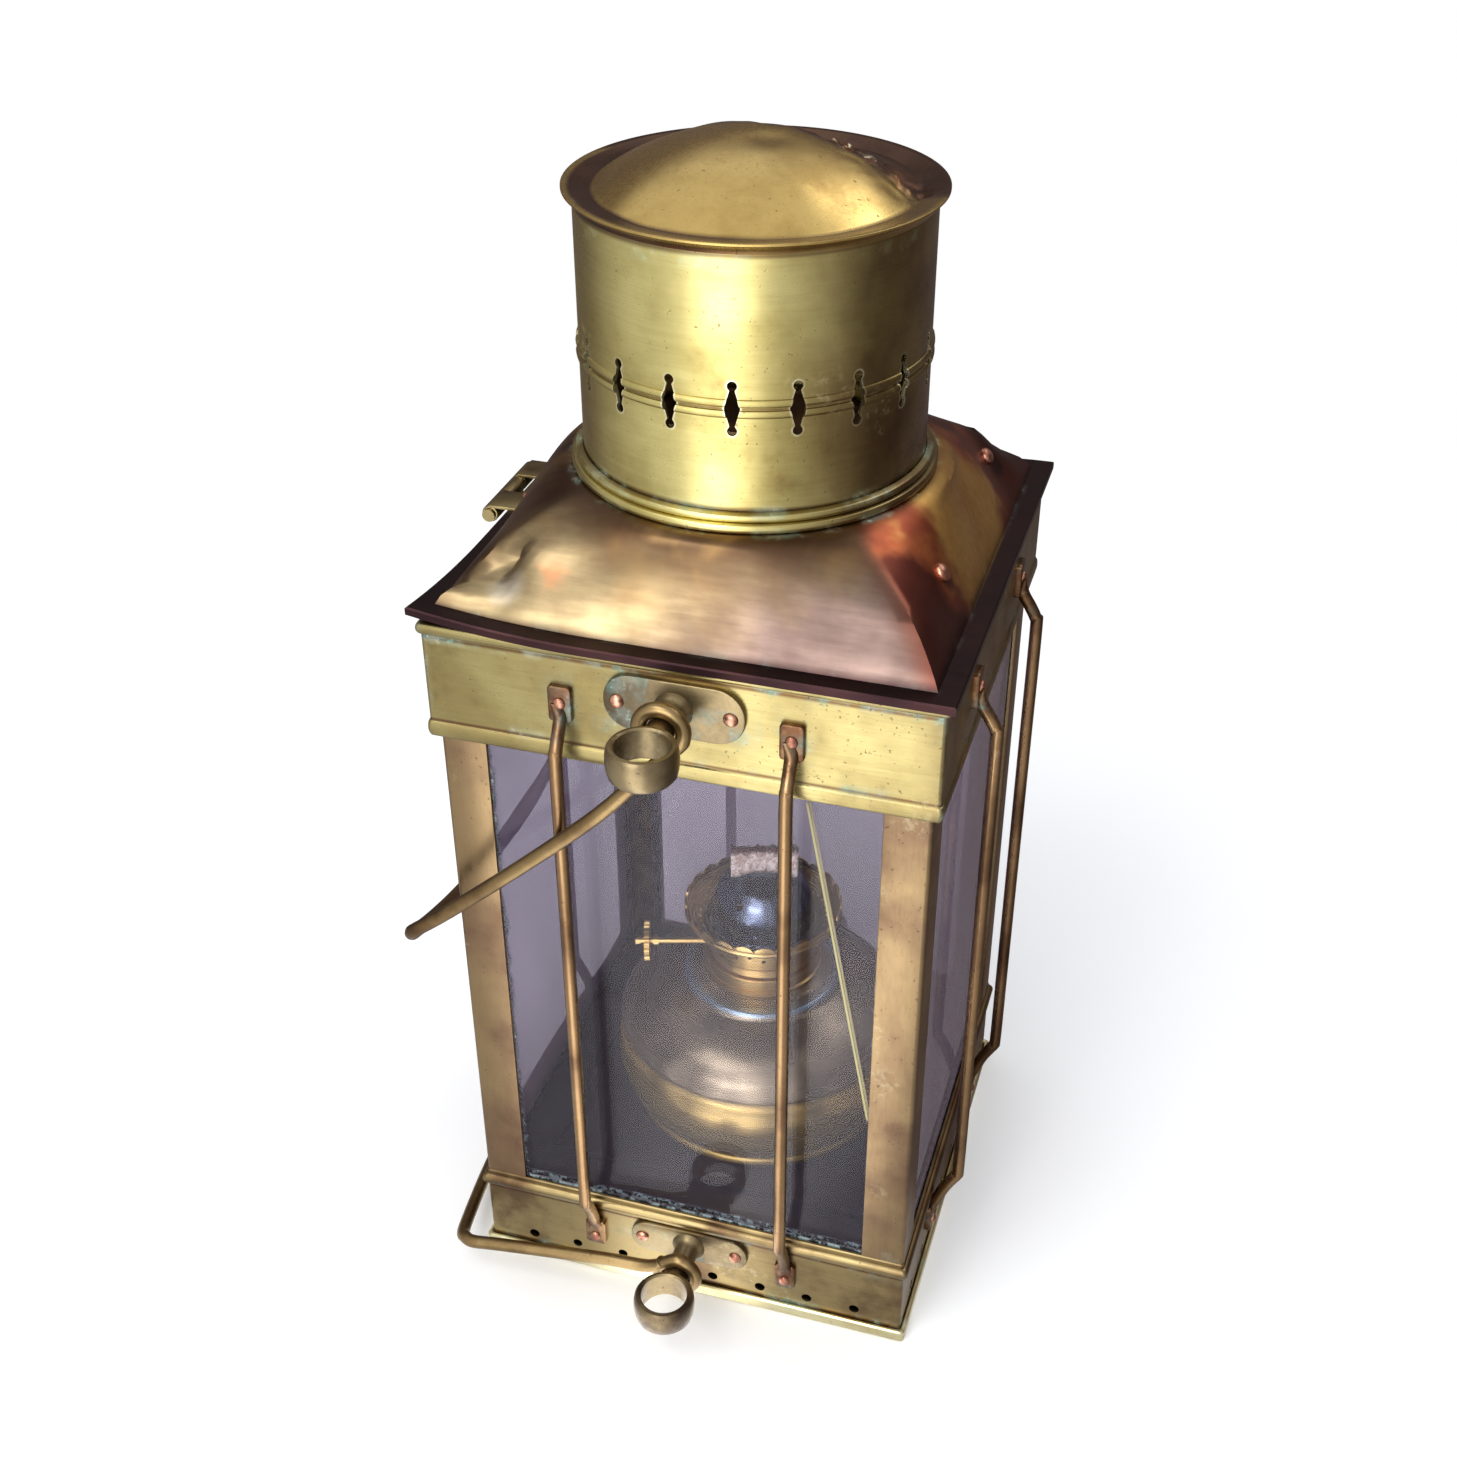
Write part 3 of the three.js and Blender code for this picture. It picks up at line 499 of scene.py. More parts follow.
# %% Brass finishes
upright, no_grain = (1.6, 1.6, 0.25), (1, 1, 1)
band_brass = aged_brass("band brass", srgb(166, 153, 104), srgb(134, 120, 78), srgb(98, 76, 50),
                        0.3, 0.27, band_seams, shade_and_grime=band_painted_shade)
base_brass = aged_brass("base brass", srgb(150, 132, 92), srgb(116, 98, 68), srgb(82, 58, 42),
                        0.75, 0.30, band_seams, shade_and_grime=band_painted_shade)
chimney_brass = aged_brass("chimney brass", srgb(206, 194, 130), srgb(172, 158, 98), srgb(124, 98, 58),
                           0.3, 0.27, chimney_seams, shade_and_grime=chimney_painted_shade, rubbed=punched_rim)
cap_brass = aged_brass("cap brass", srgb(196, 168, 104), srgb(164, 136, 78), srgb(110, 72, 42),
                       0.35, 0.25, chimney_seams, grain=no_grain, shade_and_grime=cap_painted_shade, rubbed=cap_painted_glints)
post_brass = aged_brass("post brass", srgb(140, 118, 86), srgb(116, 94, 72), srgb(88, 66, 52), 0.35, 0.3,
                        lambda finish: finish.z.near(base_high.z, 8) * 0.8, grain=upright)
rod_brass = aged_brass("rod brass", srgb(150, 120, 86), srgb(110, 84, 60), srgb(70, 50, 38), 0.5, 0.27,
                       lambda finish: finish.z.near(262, 14).largest(finish.z.near(18, 14)) * 0.7,
                       grain=upright, shade_and_grime=tab_grime)
bail_brass = aged_brass("bail brass", srgb(142, 120, 82), srgb(106, 84, 56), srgb(66, 48, 36), 0.6, 0.32,
                        grain=no_grain)
casting = aged_brass("guide casting", srgb(142, 126, 94), srgb(100, 86, 66), srgb(54, 43, 37), 0.75, 0.34,
                     lambda finish: finish.y.absolute().near(87, 4) * 0.8, grain=no_grain)
burner_brass = aged_brass("burner brass", srgb(214, 188, 120), srgb(180, 152, 90), srgb(124, 96, 54),
                          0.35, 0.24)
print("brass finishes:", len([made for made in bpy.data.materials if "brass" in made.name]))

# %% [markdown]
# The hood's flange is almost black, and its slopes carry painted light: the front slope is a painted
# reflection, pale with a violet cast, the right slope a painted highlight, gold round the catch rivets and
# copper red beyond, and near the chimney the slopes are painted dark brown, the chimney's reflection.

# %% Roof finish
hood_low, hood_high = span("roof_hood")
flange_inner = hood_high.x - 7
catch_spots = [(71, 55, 298), (71, -36, 298)]


def hood_finish():
    """Slopes with their painted reflection and highlight, the chimney's painted reflection by the shoulder,
    rivet rings, flange, knocks and damp, painted one over the other.
    """
    finish = Finish("hood brass", metallic=1.0)
    clouds = finish.noise(42, 3, 0.5, distortion=0.8)
    rubbed = finish.noise(24, 4, 0.5) * 0.7 + finish.noise(3, 3, 0.6, stretch=(0.15, 1, 1)) * 0.3
    front = (finish.y * -1 - finish.x.absolute() * 0.95).between(-12, 12)
    right = (finish.x - finish.y.absolute() * 0.95).between(-8, 10)
    # The front slope's colour is a painted reflection: pale tan, turning mauve towards the right and the lower
    # edge.
    tan = finish.mix(rubbed.between(0.35, 0.65), srgb(170, 152, 114), srgb(136, 117, 87))
    mauve = finish.mix(rubbed.between(0.3, 0.7), srgb(120, 101, 94), srgb(92, 75, 69))
    to_right = (finish.x * 0.012 + (hood_low.z + 18 - finish.z) * 0.02 + clouds * 0.6).between(0.1, 0.9)
    front_colour = finish.mix(to_right, tan, mauve)
    brown = finish.mix(clouds.between(0.35, 0.65), srgb(126, 98, 66), srgb(84, 60, 42))
    colour = finish.mix(front, brown, front_colour)
    # The right slope carries a painted highlight: gold in the middle, between the catch rivets, then copper red
    # and dark red-brown towards its ends.
    gold = finish.mix(rubbed.between(0.3, 0.7), srgb(226, 184, 104), srgb(184, 138, 72))
    copper_red = finish.mix(clouds.between(0.4, 0.6), srgb(166, 92, 56), srgb(130, 64, 42))
    highlight_share = finish.y.near(4, 74) * 0.75 + (finish.noise(22, 3, 0.5) - 0.5) * 0.9
    right_highlight = finish.mix(highlight_share.between(0.18, 0.40), srgb(92, 44, 34), copper_red)
    right_highlight = finish.mix(highlight_share.between(0.36, 0.62), right_highlight, gold)
    colour = finish.mix(right, colour, right_highlight)
    # Near the chimney the slopes are painted dark brown, a painted reflection of the chimney, reaching less far
    # on the right slope.
    reach = finish.radius() + right * 14 + (clouds - 0.5) * 14
    shoulder = reach.between(65, 86)
    sunk = finish.mix(clouds.between(0.35, 0.6), srgb(128, 98, 62), srgb(74, 50, 36))
    colour = finish.mix(shoulder * 0.9 + 0.1, sunk, colour)
    for spot in catch_spots:
        away = finish.distance(spot)
        ring = away.between(3.0, 6.2, 0.85, 0.0)
        colour = finish.mix(ring, colour, srgb(50, 26, 24))
    half = finish.x.absolute().largest(finish.y.absolute())
    flange = half.between(flange_inner - 1.5, flange_inner + 0.5)
    black = finish.mix(rubbed.between(0.3, 0.7), srgb(58, 38, 38), srgb(40, 27, 30))
    colour = finish.mix(flange, colour, black)
    corner = (finish.distance((-44, -72, 303)) + (clouds + rubbed - 1) * 40).between(3.0, 12.0, 0.6, 0.0)
    colour = finish.mix(corner, colour, srgb(176, 112, 78))
    # Near black over the crumpled back right corner.
    crumple = finish.distance((60, 80, 306)).between(12, 30, 0.92, 0.0)
    crumple_dark = finish.mix(clouds.between(0.4, 0.6), srgb(66, 52, 50), srgb(34, 27, 30))
    colour = finish.mix(crumple, colour, crumple_dark)
    crease = finish.distance((-67, -70, 301)).between(2.0, 6.5, 0.8, 0.0)
    colour = finish.mix(crease, colour, srgb(62, 46, 40))
    pale = finish.distance((-60, -76, 299)).between(4.0, 9.0, 0.75, 0.0)
    colour = finish.mix(pale, colour, srgb(190, 178, 160))
    creases = finish.radius().near(61, 2.5).largest(half.near(flange_inner, 2) * 0.25)
    green, tone = damp(finish, creases)
    colour = finish.mix(green, colour, tone)
    finish.set("Base Color", colour)
    finish.set("Metallic", 1 - green * 0.9)
    rough = rubbed.between(0.3, 0.7, 0.29, 0.38) + flange * 0.04 + green * 0.4
    finish.set("Roughness", rough)
    finish.bump(finish.noise(34, 1, 0.4) * 0.16 + rubbed * 0.015, 1.0)
    return finish


hood_brass = hood_finish()
print("hood finish has", len(hood_brass.tree.nodes), "nodes")

# %% [markdown]
# Rivets, tin, blued steel and the brass inside the case are seen small or through glass, so two tones in soft
# clouds are enough for them.

# %% Small metals


def plain_metal(name, light, dark, gloss, size=12, metallic=1.0):
    """Metal with soft clouds of tone and slight wear, for small and hidden pieces."""
    finish = Finish(name, metallic=metallic)
    clouds = finish.noise(size, 4, 0.6)
    finish.set("Base Color", finish.mix(clouds.between(0.35, 0.65), light, dark))
    finish.set("Roughness", clouds.between(0.3, 0.7, gloss - 0.06, gloss + 0.1))
    finish.bump(clouds * 0.05 + finish.noise(1.5, 2) * 0.015, 1.0)
    return finish


copper = plain_metal("rivet copper", srgb(204, 150, 126), srgb(132, 86, 70), 0.32, 3)
dark_tin = plain_metal("deck tin", srgb(36, 31, 45), srgb(17, 15, 23), 0.42, 30, metallic=0.2)
blue_steel = plain_metal("deflector steel", srgb(120, 134, 150), srgb(66, 76, 94), 0.2, 9)
inner_brass = plain_metal("inner brass", srgb(110, 88, 66), srgb(66, 50, 40), 0.45, 14)
spring_brass = plain_metal("spring brass", srgb(176, 142, 84), srgb(116, 88, 52), 0.35, 8)
hinge_brass = aged_brass("hinge brass", srgb(162, 146, 104), srgb(116, 100, 68), srgb(68, 54, 40), 0.6, 0.3,
                         lambda finish: finish.y.near(-6, 7))
print("small metals are ready")

# %% [markdown]
# The font is spun brass with a greyed lacquer, grey above the groove and gold below it. The split is partly
# painted reflection: the shoulder is greyer where it reflects the dark roof, the belly brighter where it
# reflects the floor. Its rings come from turning, so the tone changes in bands that follow its height, and a
# pale blue painted highlight runs along the step under the collar.

# %% Font finish
font_low, font_high = span("oil_font")


def font_finish():
    """Grey above and gold below the groove, partly painted reflection, with rings from the lathe and a painted
    highlight along the step.
    """
    finish = Finish("font brass", metallic=0.82)
    clouds = finish.noise(24, 3, 0.55)
    bands = finish.noise(5, 3, 0.6, stretch=(0.1, 0.1, 1.0))
    grey = finish.mix(clouds.between(0.35, 0.65), srgb(156, 148, 124), srgb(118, 111, 96))
    gold = finish.mix(bands.between(0.35, 0.65), srgb(206, 182, 104), srgb(166, 143, 80))
    # Partly painted reflection: greyer above, where the shoulder reflects the dark roof, brighter gold below,
    # where the belly reflects the floor.
    low_part = finish.z.between(font_low.z + 35, font_low.z + 38, 1.0, 0.0)
    colour = finish.mix(low_part * 0.8 + bands * 0.2, grey, gold)
    groove = finish.z.near(font_low.z + 37.2, 1.6)
    colour = finish.mix(groove * 0.8, colour, srgb(58, 46, 40))
    # A painted highlight: a pale blue line along the step under the collar.
    step = finish.z.near(font_high.z - 2.4, 1.5)
    colour = finish.mix(step * 0.7, colour, srgb(150, 186, 206))
    finish.set("Base Color", colour)
    finish.set("Roughness", bands.between(0.3, 0.7, 0.23, 0.29))
    finish.bump(clouds * 0.04, 1.0)
    return finish


font_brass = font_finish()
print("font finish is ready")

# %% [markdown]
# The panes are old glass with a violet film, thicker on the back and left; the film's violet is painted,
# standing in for violet surroundings seen through the glass. Clear glass is a mix of a transparent and a glossy
# shader: more gloss at a grazing angle, and light passes without noise. The film, the putty along the edges and
# a thin brass-coloured line across the front pane are mixed over it.

# %% Glass


def glass_finish(name, film, film_colour, across, crust=srgb(62, 58, 64), brass_line=None):
    """across is the axis along the pane's width; crack gives the two ends of a thin brass-coloured line, as
    [across, z].
    """
    finish = Finish(name, roughness=0.55)
    through = finish.node("ShaderNodeBsdfTransparent", {}, [(0.93, 0.91, 0.95, 1)])
    shine = finish.node("ShaderNodeBsdfGlossy", {}, {"Roughness": 0.03})
    facing = Signal(finish, finish.node("ShaderNodeLayerWeight", {}, {"Blend": 0.5}).outputs["Facing"])
    layers = [facing ** 5 * 0.9 + 0.014, through.outputs[0], shine.outputs[0]]
    pane = finish.node("ShaderNodeMixShader", {}, layers)
    wide = {"x": finish.x, "y": finish.y}[across]
    smears = finish.noise(46, 3, 0.6, stretch=(1, 1, 0.5), distortion=1.0)
    dust = finish.noise(3, 4, 0.7)
    # The film is painted: its violet stands in for violet surroundings seen through the glass, uneven in
    # smears, with specks of dust.
    film_and_dust = film * (0.75 + smears * 0.5) + dust.between(0.58, 0.75) * 0.06
    ragged = finish.noise(7, 4, 0.7) * 5
    edge_x = (wide.absolute() + ragged).between(68.6, 70.2) * 0.85
    edge_low = (finish.z - ragged * 0.6).between(38.6, 40.4, 1.0, 0.0)
    edge_top = (finish.z + ragged).between(245.5, 247, 0.0, 0.6)
    putty = edge_x.largest(edge_low).largest(edge_top)
    crumbs = finish.noise(2.5, 4, 0.7).between(0.4, 0.6)
    putty_colour = finish.mix(crumbs.between(0.35, 1.0), srgb(24, 25, 30), crust)
    tone = finish.mix(smears, film_colour, srgb(150, 140, 158))
    tone = finish.mix(putty, tone, putty_colour)
    cover = film_and_dust.largest(putty * crumbs.between(0, 1, 0.65, 1.0))
    # A thin brass-coloured line across the pane, between two given ends.
    if brass_line:
        (x0, z0), (x1, z1) = brass_line
        length = math.hypot(x1 - x0, z1 - z0)
        off = ((wide - x0) * ((z1 - z0) / length) - (finish.z - z0) * ((x1 - x0) / length)).absolute()
        ends = finish.z.between(z1 - 3, z1) * finish.z.between(z0, z0 + 3, 1.0, 0.0)
        line = off.between(0.25, 0.65, 1.0, 0.0) * ends
        tone = finish.mix(line, tone, srgb(176, 166, 108))
        cover = cover.largest(line * 0.85)
    finish.set("Base Color", tone)
    layers = [cover, pane.outputs[0], finish.shader.outputs[0]]
    finish.shown_by(finish.node("ShaderNodeMixShader", {}, layers))
    return finish


front_glass = glass_finish("front glass", 0.03, srgb(130, 120, 140), "x", srgb(146, 166, 168),
                           brass_line=((42, 238), (66, 109)))
right_glass = glass_finish("right glass", 0.26, srgb(126, 108, 130), "y")
left_glass = glass_finish("left glass", 0.46, srgb(168, 158, 192), "y")
back_glass = glass_finish("back glass", 0.52, srgb(150, 126, 156), "x")
print("four panes are glazed")

# %% [markdown]
# The wick is woven cotton: pale where it is clean and scorched brown along the lit edge.

# %% Cotton
cotton = Finish("wick cotton", roughness=0.95)
wick_low, wick_high = span("wick")
weave = (cotton.noise(2.2, 3, 0.6) * 0.6 + cotton.noise(0.8, 2) * 0.4).between(0.4, 0.6)
cloth_colour = cotton.mix(weave, srgb(250, 243, 228), srgb(196, 168, 142))
char = (cotton.z + cotton.noise(4, 4, 0.7) * 9).between(wick_high.z - 0.5, wick_high.z + 3.5)
cotton.set("Base Color", cotton.mix(char, cloth_colour, srgb(84, 48, 36)))
cotton.bump(weave * 0.4, 0.6)
print("finishes in all:", len(bpy.data.materials))

# %% [markdown]
# ## Tools for sheet, turned and bent work
# Sheet that is square in plan starts as one outline that is pulled up step by step, and turned pieces spin a
# profile round Z. Both end as a closed mesh, which rides on a body and stands for the part it refines.

# %% Turned and squared sheet
face_front = Matrix.Rotation(math.pi / 2, 4, "X")


def at(x, y, z):
    """A move to a place in millimetres."""
    return Matrix.Translation((x * mm, y * mm, z * mm))


def finished(shape, name, finish, body, replaced=(), smooth=32):
    """Turns a bmesh or a mesh into a piece that rides on a body and stands for CAD nodes."""
    mesh = shape if isinstance(shape, bpy.types.Mesh) else meshed(shape, name)
    mesh.materials.append(finish.material)
    mesh.shade_smooth()
    mesh.set_sharp_from_angle(angle=math.radians(smooth))
    piece = bpy.data.objects.new(name, mesh)
    scene.collection.objects.link(piece)
    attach(piece, body)
    if replaced:
        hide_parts(*replaced)
    return piece


def softened(bm, geom, offset, segments, affect="EDGES"):
    """Bevels edges, or the corners of an outline, by an offset in millimetres."""
    return bmesh.ops.bevel(bm, geom=geom, offset=offset * mm, offset_type="OFFSET", segments=segments,
                           profile=0.5, affect=affect, material=-1)


def closed_up(bm, nearest=2e-6):
    """Joins verts that meet and turns every face outward."""
    bmesh.ops.remove_doubles(bm, verts=bm.verts, dist=nearest)
    bmesh.ops.recalc_face_normals(bm, faces=bm.faces)
    return bm


def turned(profile, steps=96, ring=True):
    """Spins a profile of [radius, height] in millimetres round Z."""
    bm = bmesh.new()
    verts = [bm.verts.new((radius * mm, 0, height * mm)) for radius, height in profile]
    edges = [bm.edges.new(pair) for pair in zip(verts, verts[1:])]
    if ring:
        edges.append(bm.edges.new((verts[-1], verts[0])))
    bmesh.ops.spin(bm, geom=verts + edges, cent=(0, 0, 0), axis=(0, 0, 1), dvec=(0, 0, 0),
                   angle=2 * math.pi, steps=steps, use_merge=True)
    return closed_up(bm)


def pulled(bm, edges, matrix):
    """Extrudes a ring of edges and moves the new ring by a matrix."""
    made = bmesh.ops.extrude_edge_only(bm, edges=edges)["geom"]
    bmesh.ops.transform(bm, matrix=matrix, verts=only(bmesh.types.BMVert, made))
    return only(bmesh.types.BMEdge, made)


def squared(profile, corner=1.4, ring=True):
    """Sheet that is square in plan: the profile gives its half width at each height."""
    bm = bmesh.new()
    half, height = profile[0]
    bmesh.ops.create_grid(bm, x_segments=1, y_segments=1, size=half * mm, matrix=at(0, 0, height))
    softened(bm, bm.verts[:], corner, 5, "VERTICES")
    first = bm.edges[:]
    bmesh.ops.delete(bm, geom=bm.faces[:], context="FACES_ONLY")
    edges = first
    for next_half, next_height in profile[1:] + (profile[:1] if ring else []):
        grow = next_half / half
        rise = Matrix.Translation((0, 0, (next_height - height) * mm))
        edges = pulled(bm, edges, rise @ Matrix.Diagonal((grow, grow, 1, 1)))
        half, height = next_half, next_height
    if not ring:
        bmesh.ops.edgeloop_fill(bm, edges=first)
        bmesh.ops.edgeloop_fill(bm, edges=edges)
    return closed_up(bm, 1e-5)


def bulge(half, proud, low, high, steps=8):
    """A rolled bead: half a ring of points that stands proud of a wall."""
    turns = [math.pi * i / steps for i in range(steps + 1)]
    centre, reach = (low + high) / 2, (high - low) / 2
    return [(half + proud * math.sin(turn), centre - reach * math.cos(turn)) for turn in turns]


quarter_turns = [Matrix.Rotation(math.radians(90 * i), 4, "Z") for i in range(4)]
print("sheet can be turned and squared")

# %% [markdown]
# A wire is a circle carried along a path. A few given points give the bends, and a smooth run through them
# gives the path.

# %% Wires


def curved(points, per_span=6):
    """A smooth Catmull-Rom run through given points."""
    ends = [points[0] * 2 - points[1], *points, points[-1] * 2 - points[-2]]
    run = []
    for a, b, c, d in zip(ends, ends[1:], ends[2:], ends[3:]):
        for i in range(per_span):
            t = i / per_span
            run.append(0.5 * (2 * b + (c - a) * t + (2 * a - 5 * b + 4 * c - d) * t ** 2
                              + (3 * b - a - 3 * c + d) * t ** 3))
    return [*run, points[-1]]


def wired(path, radius, sides, flatten):
    """Carries a circle along a path in millimetres; flatten(share) gives its width and thickness."""
    bm = bmesh.new()
    side = (path[1] - path[0]).normalized().orthogonal().normalized()
    edges = None
    for i, point in enumerate(path):
        ahead = (path[min(i + 1, len(path) - 1)] - path[max(i - 1, 0)]).normalized()
        side = (side - ahead * side.dot(ahead)).normalized()
        third = ahead.cross(side)
        wide, thick = flatten(i / (len(path) - 1))
        turn = Matrix((side, third, ahead)).transposed().to_4x4()
        size = Matrix.Diagonal((radius * mm * wide, radius * mm * thick, radius * mm, 1))
        now = Matrix.Translation(point * mm) @ turn @ size
        if edges is None:
            ring = bmesh.ops.create_circle(bm, segments=sides, radius=1, matrix=now)["verts"]
            edges = list({edge for vert in ring for edge in vert.link_edges})
            first = edges
        else:
            edges = pulled(bm, edges, now @ before.inverted())
        before = now
    bmesh.ops.edgeloop_fill(bm, edges=first)
    bmesh.ops.edgeloop_fill(bm, edges=edges)
    bmesh.ops.recalc_face_normals(bm, faces=bm.faces)
    return bm


print("wires can be bent")

# %% [markdown]
# Plates, rivet heads and cutters are added to a bmesh that may hold others already. Holes are cut with a
# Boolean modifier that is applied at once, because a punched hole has a true edge.

# %% Plates, rivets and holes


def box_outline(x0, x1, y0, y1):
    """The four corners of a rectangle."""
    return [(x0, y0), (x1, y0), (x1, y1), (x0, y1)]


def plate(bm, corners, depth, matrix, round_off=0.0, ease=0.0):
    """A flat plate from [x, y] corners in millimetres, with rounded corners and eased edges."""
    verts = [bm.verts.new((x * mm, y * mm, 0)) for x, y in corners]
    face = bm.faces.new(verts)
    if round_off:
        made = softened(bm, verts, round_off, 8, "VERTICES")
        around = [f for v in made["verts"] if v.is_valid for f in v.link_faces]
        face = max(around, key=lambda f: len(f.verts))
    lifted = bmesh.ops.extrude_face_region(bm, geom=[face])["geom"]
    bmesh.ops.translate(bm, verts=only(bmesh.types.BMVert, lifted), vec=(0, 0, depth * mm))
    top_face = only(bmesh.types.BMFace, lifted)[0]
    every = {v for f in (face, top_face) for v in f.verts}
    if ease:
        every |= set(softened(bm, list(top_face.edges), ease, 2)["verts"])
    every = [v for v in every if v.is_valid]
    bmesh.ops.recalc_face_normals(bm, faces=list({f for v in every for f in v.link_faces}))
    bmesh.ops.transform(bm, matrix=matrix, verts=every)


def facing(place, normal):
    """A move to a place that also turns Z to a normal."""
    turn = Vector(normal).to_track_quat("Z", "Y").to_matrix().to_4x4()
    return Matrix.Translation(Vector(place) * mm) @ turn


def rivet(bm, place, normal, radius=2.3, height=1.4):
    """A domed head, hammered a little out of round."""
    uneven = 1 + random.uniform(-0.06, 0.06)
    size = Matrix.Diagonal((radius * mm * uneven, radius * mm / uneven, height * mm, 1))
    tilt = Matrix.Rotation(random.uniform(-0.08, 0.08), 4, "X")
    where = facing(place, normal) @ tilt @ size
    bmesh.ops.create_uvsphere(bm, u_segments=20, v_segments=12, radius=1, matrix=where)


def drill(bm, place, normal, radius, length, sides=20):
    """A cylinder centred on a place: a cutter for a hole, or a short round part."""
    bmesh.ops.create_cone(bm, cap_ends=True, segments=sides, radius1=radius * mm, radius2=radius * mm,
                          depth=length * mm, matrix=facing(place, normal))


def carved(bm, cutter):
    """Cuts one bmesh out of another with an applied Boolean modifier, and gives the mesh."""
    holders = []
    for name, source in (("blank", bm), ("cutter", cutter)):
        holder = bpy.data.objects.new(name, meshed(source, name))
        scene.collection.objects.link(holder)
        holders.append(holder)
    cut = holders[0].modifiers.new("cut", "BOOLEAN")
    cut.operation = "DIFFERENCE"
    cut.solver = "EXACT"
    cut.object = holders[1]
    graph = bpy.context.evaluated_depsgraph_get()
    mesh = bpy.data.meshes.new_from_object(holders[0].evaluated_get(graph))
    for holder in holders:
        bpy.data.objects.remove(holder)
    mesh.materials.clear()
    return mesh


print("plates, rivets and holes are ready")

# %% [markdown]
# ## The case
# The base is a band with a rolled bead, standing in a pan whose rim is folded up round it. Eight air holes
# are punched through each side. One cutter goes right through, so opposite sides get the same holes.

# %% Base band and pan
post_half = span("post_front_right")[1].x
base_half = post_half + 0.3
bead = bulge(base_half, 1.7, 33, 38)
profile = [(base_half, base_low.z), *bead, (base_half, base_high.z - 0.4), (base_half - 0.4, base_high.z),
           (base_half - 1.2, base_high.z), (base_half - 1.2, base_low.z)]
vents = bmesh.new()
for i in range(8):
    for along in (Vector((0, 1, 0)), Vector((1, 0, 0))):
        across = Vector((along.y, along.x, 0)) * ((i - 3.5) * 18.5 + random.uniform(-0.5, 0.5))
        drill(vents, across + Vector((0, 0, 10 + random.uniform(-0.5, 0.5))), along,
              2.0 + random.uniform(-0.15, 0.2), 200)
base_mesh = carved(squared(profile), vents)
finished(base_mesh, "base_band_sheet", base_brass, "case", ["base_band"])
pan_high = span("base_pan")[1]
pan_half, rim_top = pan_high.x, pan_high.z
pan = squared([(pan_half - 1.6, 1.0), (pan_half - 1.6, rim_top - 0.3), (pan_half - 1.2, rim_top),
               (pan_half - 0.5, rim_top), (pan_half, rim_top - 0.6), (pan_half, 0.5), (pan_half - 0.6, 0)],
              1.8, ring=False)
pan_brass = aged_brass("pan brass", srgb(222, 212, 168), srgb(170, 152, 104), srgb(112, 84, 56), 0.4, 0.3,
                       band_seams)
finished(pan, "base_pan_sheet", pan_brass, "case", ["base_pan"])
print("base band faces:", len(base_mesh.polygons))

# %% [markdown]
# The top band has a small bead below, over the window, and a rolled wire edge above, under the lid.

# %% Top band
band_half = band_high.x - 1.3
low_roll = bulge(band_half, 0.8, band_low.z, band_low.z + 5.8)
wire_edge = bulge(band_half, 1.3, band_high.z - 4.1, band_high.z)
fold = post_half + 0.3
inner = band_half - 1.2
profile = [(fold, band_low.z), *low_roll, (band_half, band_low.z + 6.4), (band_half, band_high.z - 4.7),
           *wire_edge, (inner, band_high.z), (inner, band_low.z + 3), (fold, band_low.z + 3)]
finished(squared(profile), "top_band_sheet", band_brass, "case", ["top_band"])
print("top band from", round(band_low.z, 1), "to", round(band_high.z, 1), "mm")

# %% [markdown]
# Each corner post is one strip folded along its middle. The fold is round outside, so it takes the light as
# a line, and the strip's long edges are eased a little.

# %% Posts
corner_names = ["back_right", "back_left", "front_left", "front_right"]
post_low, post_high = span("post_front_right")
post_rise = post_high.z - post_low.z
width, sheet = 16, 1.2
for turn, corner in zip(quarter_turns, corner_names):
    bm = bmesh.new()
    h = post_half
    outline = [(h, h), (h - width, h), (h - width, h - sheet), (h - sheet, h - sheet), (h - sheet, h - width),
               (h, h - width)]
    verts = [bm.verts.new((x * mm, y * mm, post_low.z * mm)) for x, y in outline]
    bm.faces.new(verts)
    softened(bm, verts[:1], 1.6, 5, "VERTICES")
    softened(bm, [verts[1], verts[5]], 0.4, 2, "VERTICES")
    top = bmesh.ops.extrude_face_region(bm, geom=bm.faces[:])["geom"]
    bmesh.ops.translate(bm, verts=only(bmesh.types.BMVert, top), vec=(0, 0, post_rise * mm))
    bmesh.ops.transform(bm, matrix=turn, verts=bm.verts)
    bmesh.ops.recalc_face_normals(bm, faces=bm.faces)
    finished(bm, "post_strip_" + corner, post_brass, "case", ["post_" + corner], 40)
print("four posts,", round(post_rise), "mm long")

# %% [markdown]
# ## Guard rods
# A guard is a rod whose ends are hammered into flat tabs and riveted to the bands. The rod is a wire along a
# path, and each tab is a small plate that the rod's end dies into.

# %% Guard rods
rod_radius = 2.25
rod_far = 93.5
rod_gap = 38
tab_half, tab_thick = 4, 2.0
upper_seat = band_half + rod_radius
lower_seat = base_half + rod_radius
tab_top = band_high.z - 14.5
route = [(upper_seat - 1.1, 265), (upper_seat - 0.5, 261.5), (upper_seat + 0.6, 258),
         (upper_seat + 3.4, 253.4), (rod_far - 0.7, 249.6), (rod_far, 246), (rod_far, 200), (rod_far, 146),
         (rod_far, 90), (rod_far, 49), (rod_far - 0.7, 45), (rod_far - 4.4, 38), (lower_seat + 0.9, 30.6),
         (lower_seat - 0.5, 26.5), (lower_seat - 1.1, 21)]


def hammered(share):
    """Width and thickness of the rod, which flattens towards both ends."""
    end = min(share, 1 - share) / 0.1
    blend = max(0.0, 1 - end)
    return 1 + 0.5 * blend, 1 - 0.55 * blend


